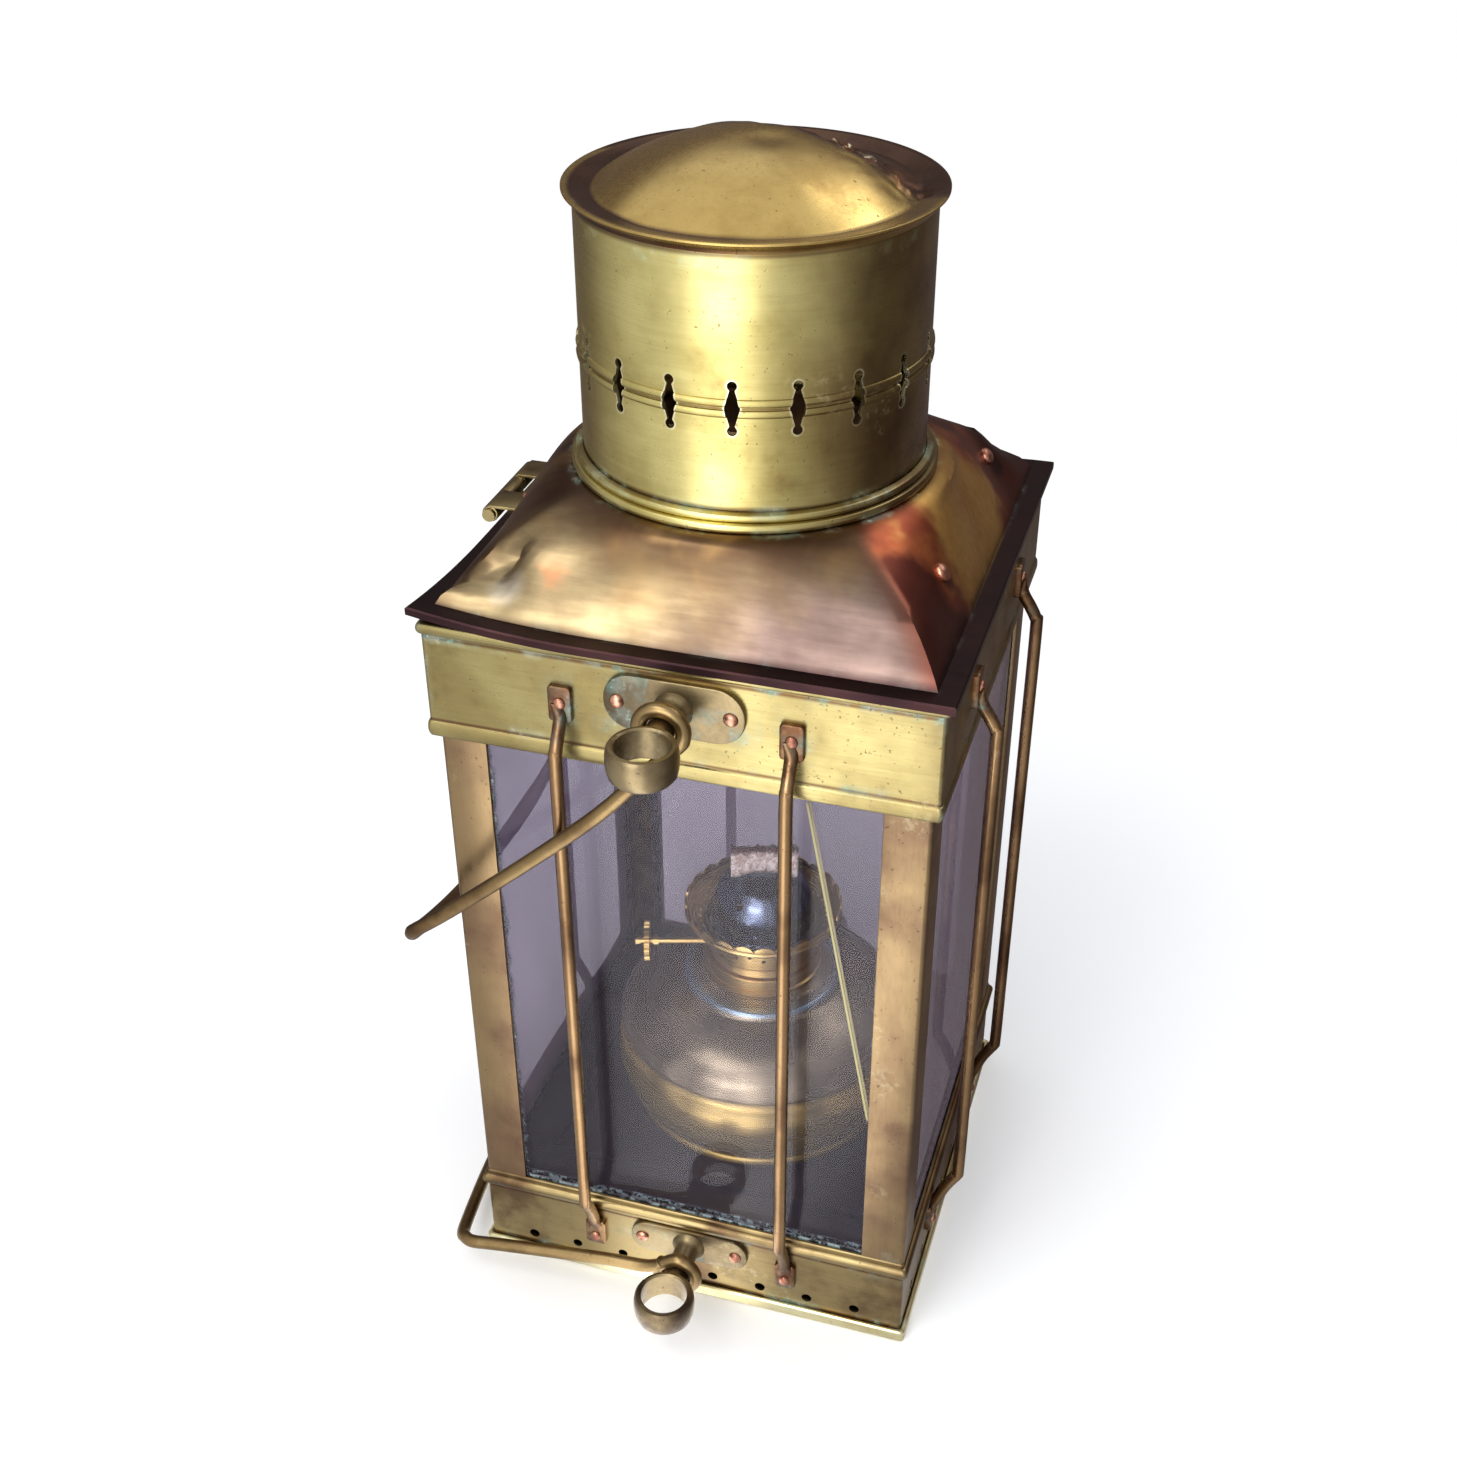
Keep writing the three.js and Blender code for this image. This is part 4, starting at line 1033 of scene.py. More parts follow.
rod_heads = bmesh.new()
for turn, side in zip(quarter_turns, ["front", "right", "back", "left"]):
    for letter, x in (("a", -rod_gap), ("b", rod_gap)):
        lean = random.uniform(-0.5, 0.5)
        points = [Vector((x + lean * math.sin(math.pi * i / (len(route) - 1)), -far, height))
                  for i, (far, height) in enumerate(route)]
        bm = wired(curved(points, 4), rod_radius, 14, hammered)
        for half, low, high in ((band_half, tab_top - 13, tab_top), (base_half, 15, 27)):
            tab = box_outline(-tab_half, tab_half, low, high)
            plate(bm, tab, tab_thick, at(x, -half, 0) @ face_front, 1.4, 0.5)
        bmesh.ops.transform(bm, matrix=turn, verts=bm.verts)
        name = "guard_rod_" + side + "_" + letter
        finished(bm, name + "_bent", rod_brass, "case", [name], 50)
        for half, height in ((band_half, tab_top - 6), (base_half, 19)):
            place = turn @ Vector((x, -half - tab_thick, height))
            rivet(rod_heads, place, turn @ Vector((0, -1, 0)), 2.2, 1.4)
print("eight guard rods,", rod_far, "mm from the axis")

# %% [markdown]
# ## Guide brackets
# Each bracket is a casting: a stadium plate, a stout neck that the bail's eye turns on, and an upright ring
# that slides on the ship's lamp iron. Cast edges are soft, so the ring's profile is a barrel.

# %% Guide brackets
ring_profile = [(8.5, -5.0), (9.0, -5.5), (9.9, -5.5), (10.6, -4.6), (11.1, -2.4), (11.35, 0), (11.25, 2.4),
                (10.9, 4.4), (10.3, 5.3), (9.2, 5.5), (8.5, 5.0)]
neck_profile = [(0, 0), (6.6, 0), (6.4, 1.2), (5.2, 2.6), (4.5, 4.5), (4.5, 20.8), (0, 20.8)]
ring_reach = 30.4
plate_half, plate_thick = 23.2, 2.0


def guide_bracket(half, height, tall):
    """A ring, a neck and a plate as one casting, on a wall at a half width."""
    bm = turned(ring_profile, 64)
    bmesh.ops.translate(bm, verts=bm.verts, vec=(0, -(half + ring_reach) * mm, height * mm))
    neck = turned(neck_profile, 40, ring=False)
    bmesh.ops.transform(neck, matrix=at(0, -(half + 1), height) @ face_front, verts=neck.verts)
    part = meshed(neck, "neck")
    bm.from_mesh(part)
    bpy.data.meshes.remove(part)
    outline = box_outline(-plate_half, plate_half, -tall / 2, tall / 2)
    plate(bm, outline, plate_thick, at(0, -half, height) @ face_front, tall / 2 - 0.4, 0.6)
    return bm


upper_pivot, lower_pivot = [sum(corner.z for corner in span(node)) / 2
                            for node in ("upper_bracket_front", "lower_bracket_front")]
levels = (("upper", band_half, upper_pivot, 20), ("lower", base_half, lower_pivot, 15))
bracket_heads = bmesh.new()
for side, turn in (("front", quarter_turns[0]), ("back", quarter_turns[2])):
    for level, half, height, tall in levels:
        bm = guide_bracket(half, height, tall)
        bmesh.ops.transform(bm, matrix=turn, verts=bm.verts)
        node = level + "_bracket_" + side
        finished(bm, node + "_casting", casting, "case", [node], 40)
        for x in (-18.6, 18.6):
            place = turn @ Vector((x, -half - plate_thick, height))
            rivet(bracket_heads, place, turn @ Vector((0, -1, 0)), 2.5, 1.5)
for heads, name in ((rod_heads, "guard_rivets"), (bracket_heads, "bracket_rivets")):
    finished(heads, name, copper, "case")
print("pivots at", round(upper_pivot, 1), "and", round(lower_pivot, 1), "mm")

# %% [markdown]
# ## Bails
# A bail is a single wire. Each end curls round a neck into an eye, the legs bow, and the crossbar arches so
# that it clears the chimney when the lantern is carried. The upper one has a flattened grip.

# %% Bails
bail_plane = 98.75
eye_radius = 7.3
wire = 2.5
clearance = 0.3
bails = {
    "upper_bail": dict(leg=141, arch=18.4, leg_bow=8.5, arch_bow=12, grip=True, height=upper_pivot),
    "lower_bail": dict(leg=90, arch=13.2, leg_bow=-2, arch_bow=10.5, grip=False, height=lower_pivot),
}


def arch_point(bail, y):
    """A point of the crossbar, which arches and bows most in its middle."""
    fall = 1 - (y / bail_plane) ** 2
    return Vector((-bail["arch_bow"] * fall, y, bail["leg"] + bail["arch"] * fall))


def bail_path(bail):
    """From the front eye up its leg, over the crossbar and down to the back eye."""
    way = math.copysign(1, bail["leg_bow"])
    eye = []
    for i in range(12):
        turn = math.radians(-318 + 318 * i / 12)
        eye.append(Vector((-way * eye_radius * math.cos(turn), -bail_plane, eye_radius * math.sin(turn))))
    leg = [Vector((-way * eye_radius, -bail_plane, 0))]
    for share in (0.12, 0.3, 0.58, 0.84):
        bow = -bail["leg_bow"] * math.sin(math.pi * math.sqrt(share))
        leg.append(Vector((bow, -bail_plane, share * bail["leg"])))
    turn_in = [Vector((0.1, -bail_plane, bail["leg"] - 5.5)),
               Vector((0, -bail_plane + 1.6, bail["leg"] - 1.6))]
    half = eye + leg + turn_in
    bar = [arch_point(bail, (bail_plane - 5.5) * (i / 6 - 1)) for i in range(13)]
    return half + bar + [Vector((p.x, -p.y, p.z)) for p in reversed(half)]


def rest_turn(bail, y, reach):
    """Angle of the legs below -X when the crossbar's point at y rests at a reach from the pivot."""
    point = arch_point(bail, y)
    return reach(math.hypot(point.x, point.z)) - math.atan2(-point.x, point.z)


beside_rods = rod_far + rod_radius + wire + clearance
above_floor = lower_pivot - wire - clearance
rests = {
    "upper_bail": rest_turn(bails["upper_bail"], rod_gap, lambda r: math.acos(beside_rods / r)),
    "lower_bail": rest_turn(bails["lower_bail"], 0, lambda r: math.asin(above_floor / r)),
}
for name, bail in bails.items():
    path_points = curved(bail_path(bail), 4)

    def grip(share, points=path_points, wanted=bail["grip"]):
        point = points[round(share * (len(points) - 1))]
        if not wanted or point.z < 140:
            return 1, 1
        press = max(0.0, 1 - ((point.y - 4) / 24) ** 2) ** 0.6
        return 1 + 0.55 * press, 1 - 0.35 * press

    bm = wired(path_points, wire, 16, grip)
    swing = Matrix.Rotation(-(math.pi / 2 + rests[name]), 4, "Y")
    bmesh.ops.transform(bm, matrix=at(0, 0, bail["height"]) @ swing, verts=bm.verts)
    finished(bm, name + "_wire", bail_brass, name, [name], 60)
    print(name, "legs rest", round(math.degrees(rests[name]), 1), "degrees below level")

# %% [markdown]
# ## The roof
# The hood is pressed from one sheet, square at the eaves and round at the shoulder. A ring of points is
# pulled up level by level, and at each level it is placed on an outline that blends from the square to the
# circle. The dents are pushed in last: years of knocks on the corners.

# %% Hood
slope_rise = 31
eave, eave_top = hood_high.x, hood_high.z - slope_rise
shoulder_radius, shoulder_bore = 60.5, 53
lip = 2.8


def outline_radius(half, blend, turn):
    """Reach of an outline at a turn: square at a blend of nought, round at one."""
    square = half / max(abs(math.cos(turn)), abs(math.sin(turn)))
    return square + (half - square) * blend


def slope_at(level):
    """Half width, height and blend at a level, from the flange to the shoulder."""
    half = flange_inner + (shoulder_radius - flange_inner) * level
    height = eave_top + slope_rise * math.sin(math.pi / 2 * level)
    return half, height, level * level * (3 - 2 * level)


def distance_to_span(point, start, end):
    """Distance from a point to the straight piece between two others."""
    along = end - start
    share = max(0, min(1, (point - start).dot(along) / along.length_squared))
    return (point - start - along * share).length


def hood_dents(point):
    """Moves a point of the hood in millimetres by the knocks that it took."""
    x, y, z = point
    lift = 5.0 * max(0, 1 - math.hypot(x + eave, y + eave) / 60) ** 2
    knocks = [((-66, -74, 301), 13, (2.6, 3.0, -3.2)), ((-52, -70, 306), 10, (-1.0, -1.6, 0.6)),
              ((66, 80, 303), 15, (-4.0, -5.0, -3.4)), ((74, 50, 300), 14, (-2.0, 0.0, -1.8)),
              ((40, 80, 303), 14, (0, 2.5, 1.5)), ((70, -66, 300), 16, (1.0, -0.6, 0.8)),
              ((66, 10, 305), 22, (-1.6, 0, -1.2)), ((2, -76, 300), 30, (0, 0.8, -0.6))]
    moved = Vector((0, 0, lift))
    fold = math.exp(-(distance_to_span(Vector((x, y)), Vector((-75, -74)), Vector((-61, -66))) / 3.6) ** 2)
    moved += Vector((2.2, 2.4, -2.6)) * fold
    bent = math.exp(-(distance_to_span(Vector((x, y)), Vector((52, 76)), Vector((68, 62))) / 4.0) ** 2)
    moved += Vector((-1.0, -1.4, 2.4)) * bent
    for centre, reach, push in knocks:
        near = math.exp(-((Vector((x, y, z)) - Vector(centre)).length / reach) ** 2 * 1.6)
        moved += Vector(push) * near
    return Vector(point) + moved


def hood():
    """The pressed sheet as a closed loop of levels: lip, flange, slope, bore and the same way back inside."""
    slope = [slope_at(i / 16) for i in range(17)]
    rim = [(eave, eave_top - lip, 0), (eave, eave_top - 0.5, 0), (eave - 0.5, eave_top, 0)]
    flange = [(eave - 3, eave_top, 0), (flange_inner + 0.8, eave_top, 0)]
    bore = [(shoulder_radius - 2, hood_high.z, 1), (shoulder_bore, hood_high.z, 1),
            (shoulder_bore, hood_high.z - 1, 1)]
    under = [(half - 0.8, height - 1, blend) for half, height, blend in reversed(slope)]
    inner_lip = [(eave - 1, eave_top - 1, 0), (eave - 1, eave_top - lip, 0)]
    loop = [*rim, *flange, *slope, *bore, *under, *inner_lip]
    bm = bmesh.new()
    ring = bmesh.ops.create_circle(bm, segments=160, radius=1)["verts"]
    edges = list({edge for vert in ring for edge in vert.link_edges})
    for number, (half, height, blend) in enumerate([*loop, loop[0]]):
        if number:
            edges = pulled(bm, edges, Matrix.Identity(4))
        for vert in {vert for edge in edges for vert in edge.verts}:
            turn = math.atan2(vert.co.y, vert.co.x)
            radius = outline_radius(half, blend, turn)
            vert.co = Vector((radius * math.cos(turn), radius * math.sin(turn), height)) * mm
    bmesh.ops.remove_doubles(bm, verts=bm.verts, dist=2e-6)
    for vert in bm.verts:
        if vert.co.z / mm < hood_high.z - 3 and vert.co.xy.length / mm > shoulder_radius:
            vert.co = hood_dents(vert.co / mm) * mm
    bmesh.ops.recalc_face_normals(bm, faces=bm.faces)
    return bm


finished(hood(), "roof_hood_pressed", hood_brass, "lid", ["roof_hood"], 40)
catch_heads = bmesh.new()
for x, y, z in catch_spots:
    turn = math.atan2(y, x)
    half, height, blend = slope_at(0.34)
    radius = outline_radius(half, blend, turn)
    spot = hood_dents(Vector((radius * math.cos(turn), radius * math.sin(turn), height)))
    rivet(catch_heads, spot, Vector((0.82, 0.05, 0.57)), 3.2, 2.1)
finished(catch_heads, "catch_rivets", copper, "lid")
print("hood rises from", round(eave_top), "to", round(hood_high.z), "mm")

# %% [markdown]
# ## Chimney and cap
# The chimney is rolled sheet with a swaged double bead, and eighteen slots are punched across the bead. Each
# slot is a diamond with a round hole at either end. The cap is a flared saucer round a low dome, with a
# crumpled dent at the back right.

# %% Chimney


def slot_outline():
    """A diamond with a round hole at each end."""
    side = [(slot_half, 0), (1.9, 2.0), (1.25, 4.2), (0.85, 5.6)]
    turns = [math.radians(degree) for degree in range(40, 181, 20)]
    round_end = [(slot_end * math.sin(turn), slot_reach - slot_end * math.cos(turn)) for turn in turns]
    up = side + round_end
    left = [(-x, z) for x, z in reversed(up[:-1])]
    upper = up + left
    return upper + [(-x, -z) for x, z in upper[1:-1]]


def chimney():
    """The swaged tube, with the slots punched out of it."""
    inner = tube_radius - 1
    lower_bead = bulge(tube_radius, 0.9, swage - 3, swage - 0.4, 6)
    upper_bead = bulge(tube_radius, 0.9, swage + 0.4, swage + 3, 6)
    profile = [(inner, tube_low.z), (tube_radius, tube_low.z), (tube_radius, swage - 4), *lower_bead,
               *upper_bead, (tube_radius, swage + 4), (tube_radius, swage + 22), (tube_radius, tube_high.z),
               (inner, tube_high.z), (inner, swage)]
    slots = bmesh.new()
    for i in range(slot_count):
        turn = Matrix.Rotation(math.radians(slot_phase + 360 * i / slot_count), 4, "Z")
        plate(slots, slot_outline(), 8, turn @ (at(0, -(tube_radius - 4), swage) @ face_front))
    return carved(turned(profile, 144), slots)


chimney_mesh = chimney()
finished(chimney_mesh, "chimney_tube", chimney_brass, "lid", ["chimney"])
foot = ring_low.z
ring_outer = tube_radius + 3.4
low_bead = bulge(ring_outer, 0.7, foot + 0.1, foot + 3, 8)
high_bead = bulge(ring_outer - 1.6, 0.8, foot + 3.1, foot + 5.6, 8)
profile = [(tube_radius + 0.3, foot), (ring_outer - 0.4, foot), *low_bead, *high_bead,
           (tube_radius + 0.9, foot + 5.9), (tube_radius + 0.3, foot + 6)]
finished(turned(profile, 144), "chimney_foot_ring", chimney_brass, "lid", ["chimney_ring"])
print("chimney has", len(chimney_mesh.polygons), "faces and", slot_count, "slots")

# %% [markdown]
# The cap's dent came from a fall: broad soft knocks, one torn ridge across them and a crumpled skin beside it.

# %% Cap
rim_free = 55.2
knocks = [((10, 34), 15, -4.6), ((26, 24), 13, -3.6), ((42, 12), 8, -1.6), ((-22, -8), 26, -0.7),
          ((6, -4), 8, -0.8), ((-6, 30), 16, -2.0)]
tear = [Vector((4, 24)), Vector((14, 27)), Vector((22, 18)), Vector((34, 12)), Vector((46, 6))]


def cap_dent(place):
    """How far the metal at a place, seen from above, has been pushed up."""
    push = sum(depth * math.exp(-((place - Vector(centre)).length / reach) ** 2 * 1.5)
               for centre, reach, depth in knocks)
    away = min(distance_to_span(place, a, b) for a, b in zip(tear, tear[1:]))
    torn = math.exp(-(away / 9) ** 2)
    push += 2.2 * math.exp(-(away / 2.2) ** 2) - 2.4 * torn
    push += 3.0 * torn * noise.noise(Vector((place.x, place.y, 0)) / 4.6)
    push += 0.5 * noise.noise(Vector((place.x, place.y, 9)) / 16)
    return push * min(1, (rim_free - place.length) / 6)


def cap():
    """A flared saucer with a low dome, spun as one sheet and then dented."""
    top = span("chimney_cap")[0].z
    shares = [1 - i / 40 for i in range(41)]
    dome = [(dome_foot * share, top + 2.4 + 16.6 * (1 - share ** 2.15)) for share in shares]
    under = [(max(radius - 0.5, 0), height - 1.0) for radius, height in reversed(dome)]
    socket = [(tube_radius - 1, top + 0.6), (tube_radius - 1, top), (tube_radius + 0.2, top),
              (tube_radius + 0.5, top + 1.0), (tube_radius + 1.4, top + 2.2)]
    flare = [(58.6, top + 3.0), (59.5, top + 3.3), (59.5, top + 3.9), (58.9, top + 4.1), (57.4, top + 3.7),
             (54.5, top + 3.0), (51.6, top + 2.5)]
    bm = turned([*under, *socket, *flare, *dome], 144, ring=False)
    for vert in bm.verts:
        place = vert.co.xy / mm
        if place.length <= rim_free and vert.co.z / mm >= top - 1:
            vert.co.z += cap_dent(place) * mm
    return bm


finished(cap(), "chimney_cap_spun", cap_brass, "lid", ["chimney_cap"], 50)
print("cap is dented by", len(knocks), "knocks and a tear")

# %% [markdown]
# ## Hinge
# Two leaves with rolled knuckles on one pin. The lid's leaf has the outer knuckles and lies on the flange
# under two copper rivets; the body's leaf has the middle one.

# %% Hinge
pin_low, pin_high = span("hinge_pin")
hinge_x, hinge_y, hinge_z = [(low + high) / 2 for low, high in zip(pin_low, pin_high)]
knuckle_half = 6.35
on_flange = at(0, 0, eave_top)


def knuckle(bm, y):
    """A rolled eye round the pin, with its ends eased."""
    made = bmesh.ops.create_cone(bm, cap_ends=True, segments=32, radius1=3.0 * mm, radius2=3.0 * mm,
                                 depth=2 * knuckle_half * mm, matrix=at(hinge_x, y, hinge_z) @ face_front)
    ends = {edge for vert in made["verts"] for edge in vert.link_edges
            if abs(edge.verts[0].co.y - edge.verts[1].co.y) < 1e-6}
    softened(bm, list(ends), 0.5, 2)


leaf_heads = bmesh.new()
leaf = bmesh.new()
for y in (hinge_y - 13, hinge_y + 13):
    knuckle(leaf, y)
    arm = [(hinge_x, y - knuckle_half), (-eave + 7, y - knuckle_half), (-eave + 7, y + knuckle_half),
           (hinge_x, y + knuckle_half)]
    plate(leaf, arm, 1.0, on_flange, 0, 0.25)
plate(leaf, box_outline(-eave + 0.6, -eave + 7, hinge_y - 7, hinge_y + 7), 1.0, on_flange, 0, 0.25)
finished(leaf, "hinge_lid_leaf_rolled", hinge_brass, "lid", ["hinge_lid_leaf"], 40)
for y in (hinge_y - 8.5, hinge_y + 9.5):
    rivet(leaf_heads, (-eave + 3.4, y, eave_top + 1), (0, 0, 1), 2.1, 1.2)
finished(leaf_heads, "hinge_rivets", copper, "lid")
strap_low, strap_high = span("hinge_body_leaf")
strap = bmesh.new()
knuckle(strap, hinge_y)
turn_level = strap_low.z + 22
out, wall = hinge_x + 0.8, strap_high.x
side_on = [(out, hinge_z), (out, turn_level), (wall - 1, turn_level), (wall - 1, strap_low.z),
           (wall, strap_low.z), (wall, turn_level + 1), (out + 1, turn_level + 1), (out + 1, hinge_z)]
plate(strap, side_on, 2 * knuckle_half, at(0, hinge_y + knuckle_half, 0) @ face_front, 0, 0.2)
finished(strap, "hinge_body_leaf_rolled", hinge_brass, "case", ["hinge_body_leaf"], 40)
strap_heads = bmesh.new()
for height in (262, 271):
    rivet(strap_heads, (wall - 1, hinge_y, height), (-1, 0, 0), 2.0, 1.2)
finished(strap_heads, "hinge_strap_rivets", copper, "case")
print("hinge axis at x", round(hinge_x, 1), "z", round(hinge_z, 1))

# %% [markdown]
# ## Oil font and burner
# The font is spun brass: a bead at the foot, a groove round the belly and a bell shoulder. On it stands the
# burner, with a scalloped gallery that would hold a chimney glass, and a blued steel dome over the wick.

# %% Font
font_x = (font_low.x + font_high.x) / 2
foot = font_low.z
font_outline = [(49.4, 0), (50.6, 0), (51.5, 0.8), (51.6, 2.2), (50.8, 3.2), (50.6, 3.8), (52.6, 6.2),
                (55.0, 10.4), (56.8, 15.6), (57.8, 20.6), (58, 24.6), (57.6, 29.6), (56.9, 33.4), (56.3, 35.6),
                (54.7, 36.4), (54.2, 37.2), (54.8, 38.0), (56.5, 38.6), (56.6, 39.6), (56.0, 41.6),
                (53.6, 45.2), (50.0, 48.8), (45.2, 51.9), (40.4, 54.4), (36.2, 56.3), (33.2, 57.5),
                (31.6, 58.2), (31.0, 59.0), (30.6, 60.0), (29.4, 60.5), (27.0, 61.1), (25.0, 61.7), (24, 62.3)]
sheet, neck, belly = 1.2, 20, 24
inside = [(max(radius - sheet, neck), height + (sheet if height < belly else -sheet))
          for radius, height in font_outline[6:-1]]
profile = [(0, 3.4), (49.4, 3.4), *font_outline, (neck, 62.3), (neck, 61.1), *reversed(inside), (0, 6.0)]
at_font = at(font_x, 0, 0)
bm = turned([(radius, height + foot) for radius, height in profile], 128, ring=False)
bmesh.ops.transform(bm, matrix=at_font, verts=bm.verts)
finished(bm, "oil_font_spun", font_brass, "font", ["oil_font"], 50)
print("font is", round(font_high.z - font_low.z, 1), "mm high")

# %% [markdown]
# A knurled collar screws the burner to the font. The burner's cup is pierced by a ring of small holes that
# let air up to the flame, by one hole for the winder's shaft, and by a slot below for the wick.

# %% Burner
wick_turn = math.radians(17)
at_burner = at_font @ Matrix.Rotation(wick_turn, 4, "Z")
collar_low, collar_high = span("font_collar")
low, high = collar_low.z, collar_high.z
collar = turned([(20, low), (22.6, low), (23, low + 0.6), (23, low + 2.2), (22.2, low + 2.6), (22.2, low + 4.6),
                 (22.9, low + 5.0), (22.9, high - 0.4), (22.4, high), (20, high)], 120)
knurl_depth = 1.012
for vert in collar.verts:
    if vert.co.xy.length / mm > 22.8 and vert.co.z / mm > low + 4:
        tooth = round(math.degrees(math.atan2(vert.co.y, vert.co.x)) / 3) % 2
        vert.co.xy = vert.co.xy * (knurl_depth if tooth else 1) / knurl_depth
bmesh.ops.transform(collar, matrix=at_burner, verts=collar.verts)
finished(collar, "font_collar_knurled", burner_brass, "font", ["font_collar"], 30)

cup_low, cup_high = span("burner_body")
low, high = cup_low.z, cup_high.z
shaft_low, shaft_high = span("wick_shaft")
shaft_z = (shaft_low.z + shaft_high.z) / 2
cup = turned([(0, low), (20.4, low), (21, low + 0.6), (20.4, low + 2.0), (20.4, low + 3.4), (20.9, low + 4.2),
              (20.9, high - 1.4), (21, high), (19, high), (19, low + 2), (0, low + 2)], 96, ring=False)
shaft_y = -6
holes = bmesh.new()
for i in range(24):
    turn = 2 * math.pi * i / 24
    way = Vector((math.cos(turn), math.sin(turn), 0))
    drill(holes, (21 * math.cos(turn), 21 * math.sin(turn), low + 8.4 + (i % 2) * 1.4), way, 0.8, 8, 10)
drill(holes, (-21, shaft_y, shaft_z), (1, 0, 0), 1.5, 12, 16)
plate(holes, box_outline(-14.4, 14.4, -3, 3), 6, at(0, 0, low - 2))
cup_mesh = carved(cup, holes)
cup_mesh.transform(at_burner)
finished(cup_mesh, "burner_body_pierced", burner_brass, "font", ["burner_body"], 30)
print("burner stands at", round(low, 1), "mm")

# %% [markdown]
# The gallery flares up from the burner. Twenty-four scallops are pulled into its rim, fine flutes run round
# the bead below, and a ring of forty-eight holes is drilled through the slope.

# %% Gallery
low = span("burner_gallery")[0].z
gallery = turned([(17.5, low), (22, low), (22.8, low + 1.4), (26.2, low + 3.8), (29.0, low + 5.4),
                  (30.2, low + 6.0), (30.6, low + 6.8), (30.2, low + 7.6), (30.5, low + 8.4), (30.4, low + 9.6),
                  (30.3, low + 10.8), (29.6, low + 10.8), (29.7, low + 9.6), (29.8, low + 7.4),
                  (28.6, low + 6.4), (25.8, low + 4.8), (22.4, low + 2.6), (20.6, low + 1.2),
                  (17.5, low + 1.2)], 192)
for vert in gallery.verts:
    turn = math.atan2(vert.co.y, vert.co.x)
    scallop = math.sqrt(abs(math.cos(12 * turn)))
    if vert.co.z / mm > low + 9:
        vert.co.z -= 2.4 * (1 - scallop) * mm * (vert.co.z / mm - low - 8.6) / 2.2
    elif vert.co.xy.length / mm > 30:
        vert.co.xy *= 1 - 0.008 * (1 - abs(math.cos(48 * turn)))
holes = bmesh.new()
for i in range(48):
    turn = 2 * math.pi * (i + 0.5) / 48
    drill(holes, (24.6 * math.cos(turn), 24.6 * math.sin(turn), low + 3.4),
          (math.cos(turn), math.sin(turn), -1.4), 0.75, 6, 8)
gallery_mesh = carved(gallery, holes)
gallery_mesh.transform(at_burner)
finished(gallery_mesh, "burner_gallery_scalloped", burner_brass, "font",
         ["burner_gallery"], 30)
print("gallery has", len(gallery_mesh.polygons), "faces")

# %% [markdown]
# The dome throws the draught onto the flame. Its skirt is rolled, and it has a slot for the wick and a hole
# for looking at the flame.

# %% Dome
dome_low, dome_high = span("deflector_dome")
skirt_top = dome_low.z + 6
rise = dome_high.z - skirt_top


def dome_curve(radius, height):
    """A quarter arch from the skirt up to the top, a little squarer than a circle."""
    turns = [math.pi / 2 * i / 12 for i in range(13)]
    return [(max(radius * math.cos(turn) ** 0.9, 0) if i < 12 else 0, skirt_top + height * math.sin(turn))
            for i, turn in enumerate(turns)]


skirt = [(18.7, dome_low.z), (19.9, dome_low.z), (20.1, dome_low.z + 0.8), (19.5, dome_low.z + 1.6)]
profile = [*reversed(dome_curve(18.7, rise - 0.8)), *skirt, *dome_curve(19.5, rise)]
slot = bmesh.new()
plate(slot, box_outline(-12.2, 12.2, -3.2, 3.2), 20, at(0, 0, skirt_top + 7), 3.0)
drill(slot, (-9, -13.5, skirt_top + 10), (-0.4, -0.8, 0.6), 1.5, 8, 16)
dome_mesh = carved(turned(profile, 96, ring=False), slot)
dome_mesh.transform(at_burner)
finished(dome_mesh, "deflector_dome_spun", blue_steel, "font", ["deflector_dome"], 30)
print("dome tops out at", round(dome_high.z, 1), "mm")

# %% [markdown]
# The wick is a flat woven strip. Its lit end is uneven and frayed, so the top rows of its mesh are moved up
# and down by random amounts, and the verts near the top are nudged a little to the sides.

# %% Wick
half_width, half_thick = 12.5, 1.3
wick = bmesh.new()
bmesh.ops.create_grid(wick, x_segments=26, y_segments=40, size=0.5, matrix=face_front)
wick_rise = wick_high.z - wick_low.z
for vert in wick.verts:
    share = vert.co.z + 0.5
    fray = random.uniform(-1.5, 0.2) if share > 0.97 else 0
    x = vert.co.x * 2 * half_width
    vert.co = Vector((x, 0.25 * math.sin(x * 1.3) * share, wick_low.z + share * wick_rise + fray)) * mm
bmesh.ops.recalc_face_normals(wick, faces=wick.faces)
bmesh.ops.solidify(wick, geom=wick.faces[:], thickness=2 * half_thick * mm)
middle_y = sum(vert.co.y for vert in wick.verts) / len(wick.verts)
bmesh.ops.translate(wick, verts=wick.verts, vec=(0, -middle_y, 0))
for vert in wick.verts:
    if vert.co.z / mm > wick_high.z - 3:
        vert.co += Vector((random.uniform(-0.3, 0.3), random.uniform(-0.5, 0.5), 0)) * mm
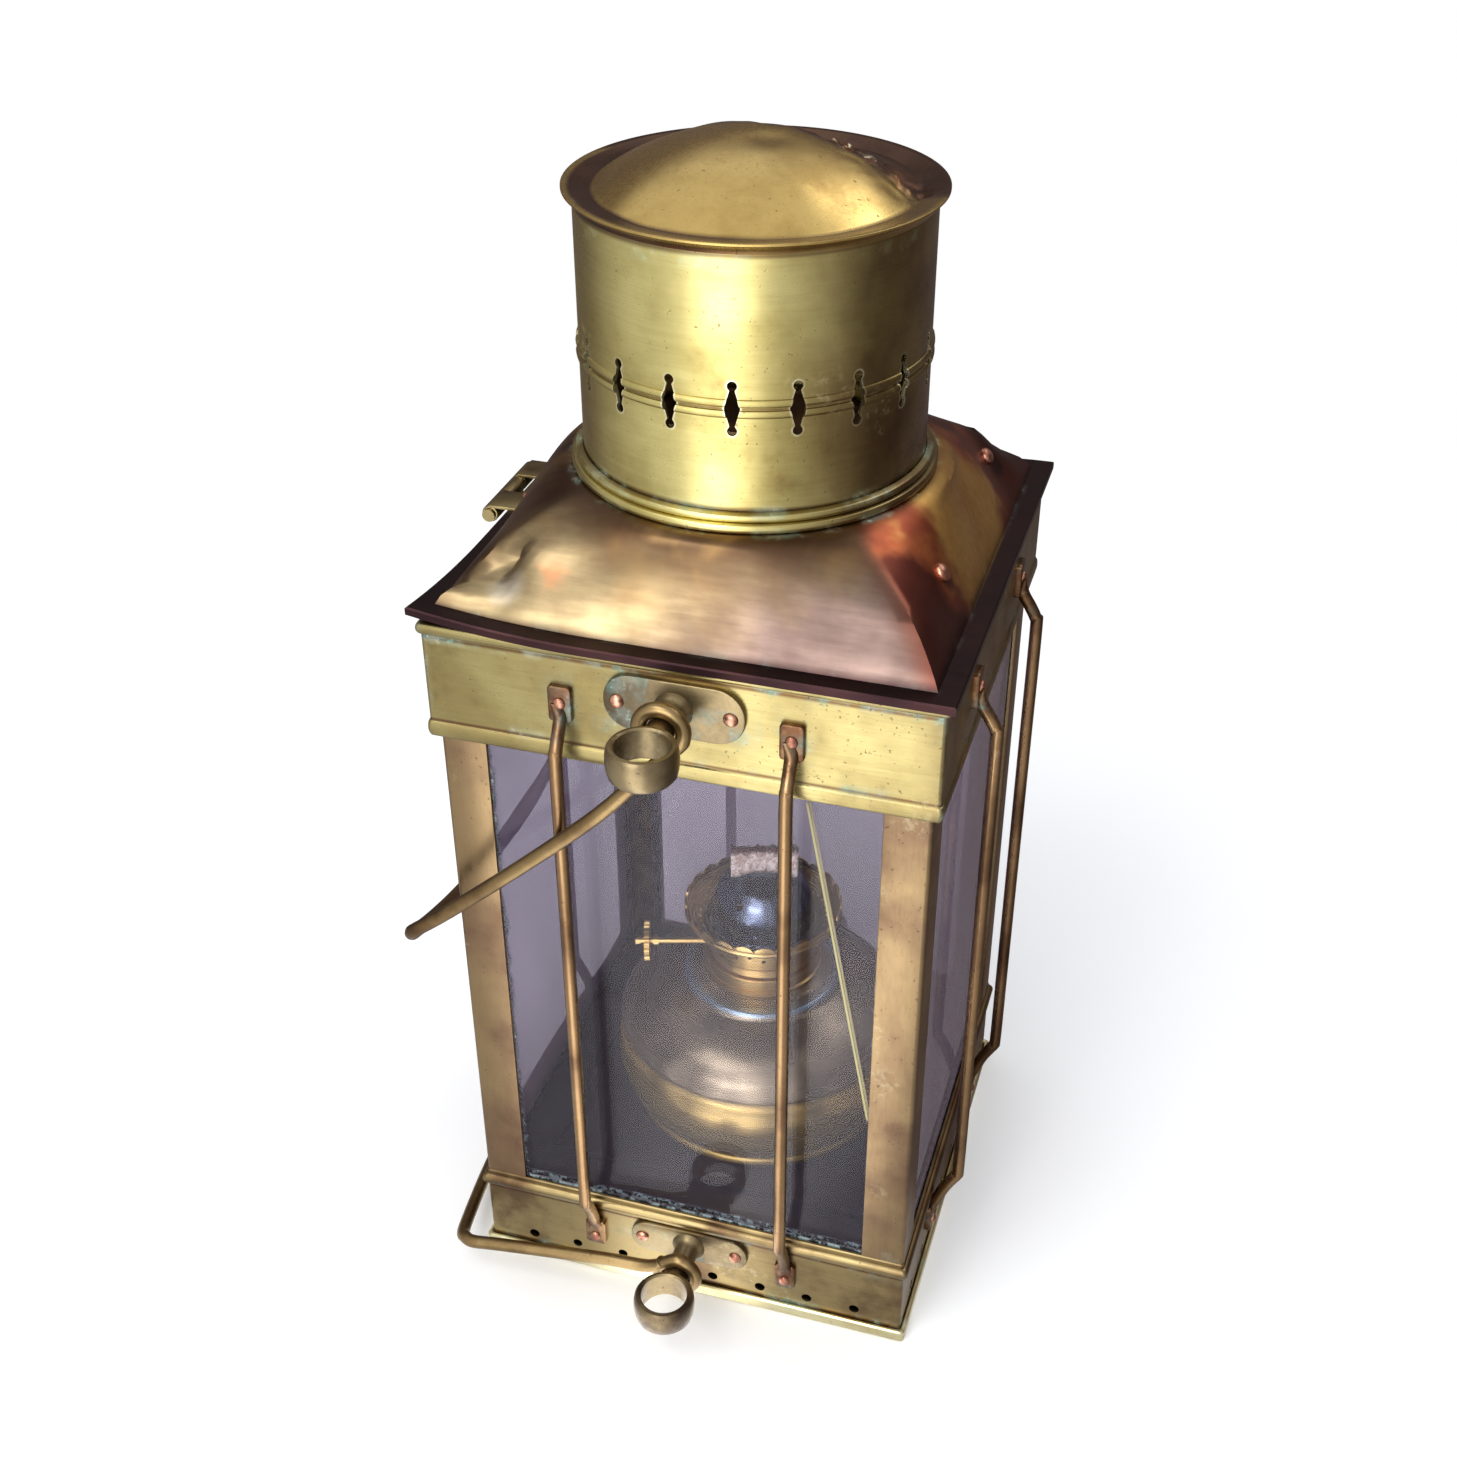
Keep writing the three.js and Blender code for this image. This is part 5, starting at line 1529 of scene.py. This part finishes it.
bmesh.ops.recalc_face_normals(wick, faces=wick.faces)
bmesh.ops.transform(wick, matrix=at_burner, verts=wick.verts)
finished(wick, "wick_woven", cotton, "wick", ["wick"], 80)
print("wick stands to", round(wick_high.z), "mm")

# %% [markdown]
# The winder is a thin shaft with two feed wheels that bite the wick, two collars and a thumb wheel with a
# milled edge on its end.

# %% Winder
shaft = bmesh.new()
for x, radius, length, sides in ((-18, 1.2, 60, 20), (-48.6, 1.9, 1.8, 20), (-41.6, 2.2, 2.0, 20),
                                 (-7, 4.4, 2.4, 24), (7, 4.4, 2.4, 24)):
    drill(shaft, (x, shaft_y, shaft_z), (1, 0, 0), radius, length, sides)
bmesh.ops.transform(shaft, matrix=at_burner, verts=shaft.verts)
finished(shaft, "wick_shaft_turned", burner_brass, "winder", ["wick_shaft"], 40)
wheel = bmesh.new()
teeth = []
for i in range(72):
    turn = 2 * math.pi * i / 72
    radius = 7.75 if i % 4 in (0, 1) else 6.7
    teeth.append((radius * math.cos(turn), radius * math.sin(turn)))
plate(wheel, teeth, 2.0, at(-46, shaft_y, shaft_z) @ Matrix.Rotation(math.pi / 2, 4, "Y"))
bmesh.ops.transform(wheel, matrix=at_burner, verts=wheel.verts)
finished(wheel, "wick_wheel_milled", burner_brass, "winder", ["wick_wheel"], 30)
print("thumb wheel has", len(teeth) // 4, "teeth")

# %% [markdown]
# ## Finishes on the parts that keep their own shape
# Deck, tray, glass and the hidden parts are right as they came, so they only get their finish.

# %% Finish the rest
plain = {
    "deck": dark_tin, "font_tray": dark_tin, "glazing_ledge": inner_brass, "wind_baffle": inner_brass,
    "catch_spring": spring_brass, "wick_tube": burner_brass, "hinge_pin": hinge_brass,
    "pane_front": front_glass, "pane_right": right_glass, "pane_left": left_glass, "pane_back": back_glass,
}
for corner in corner_names:
    plain["glazing_angle_" + corner] = inner_brass
for node, finish in plain.items():
    nodes[node].data.materials.clear()
    nodes[node].data.materials.append(finish.material)
print("finished", len(plain), "parts in place")
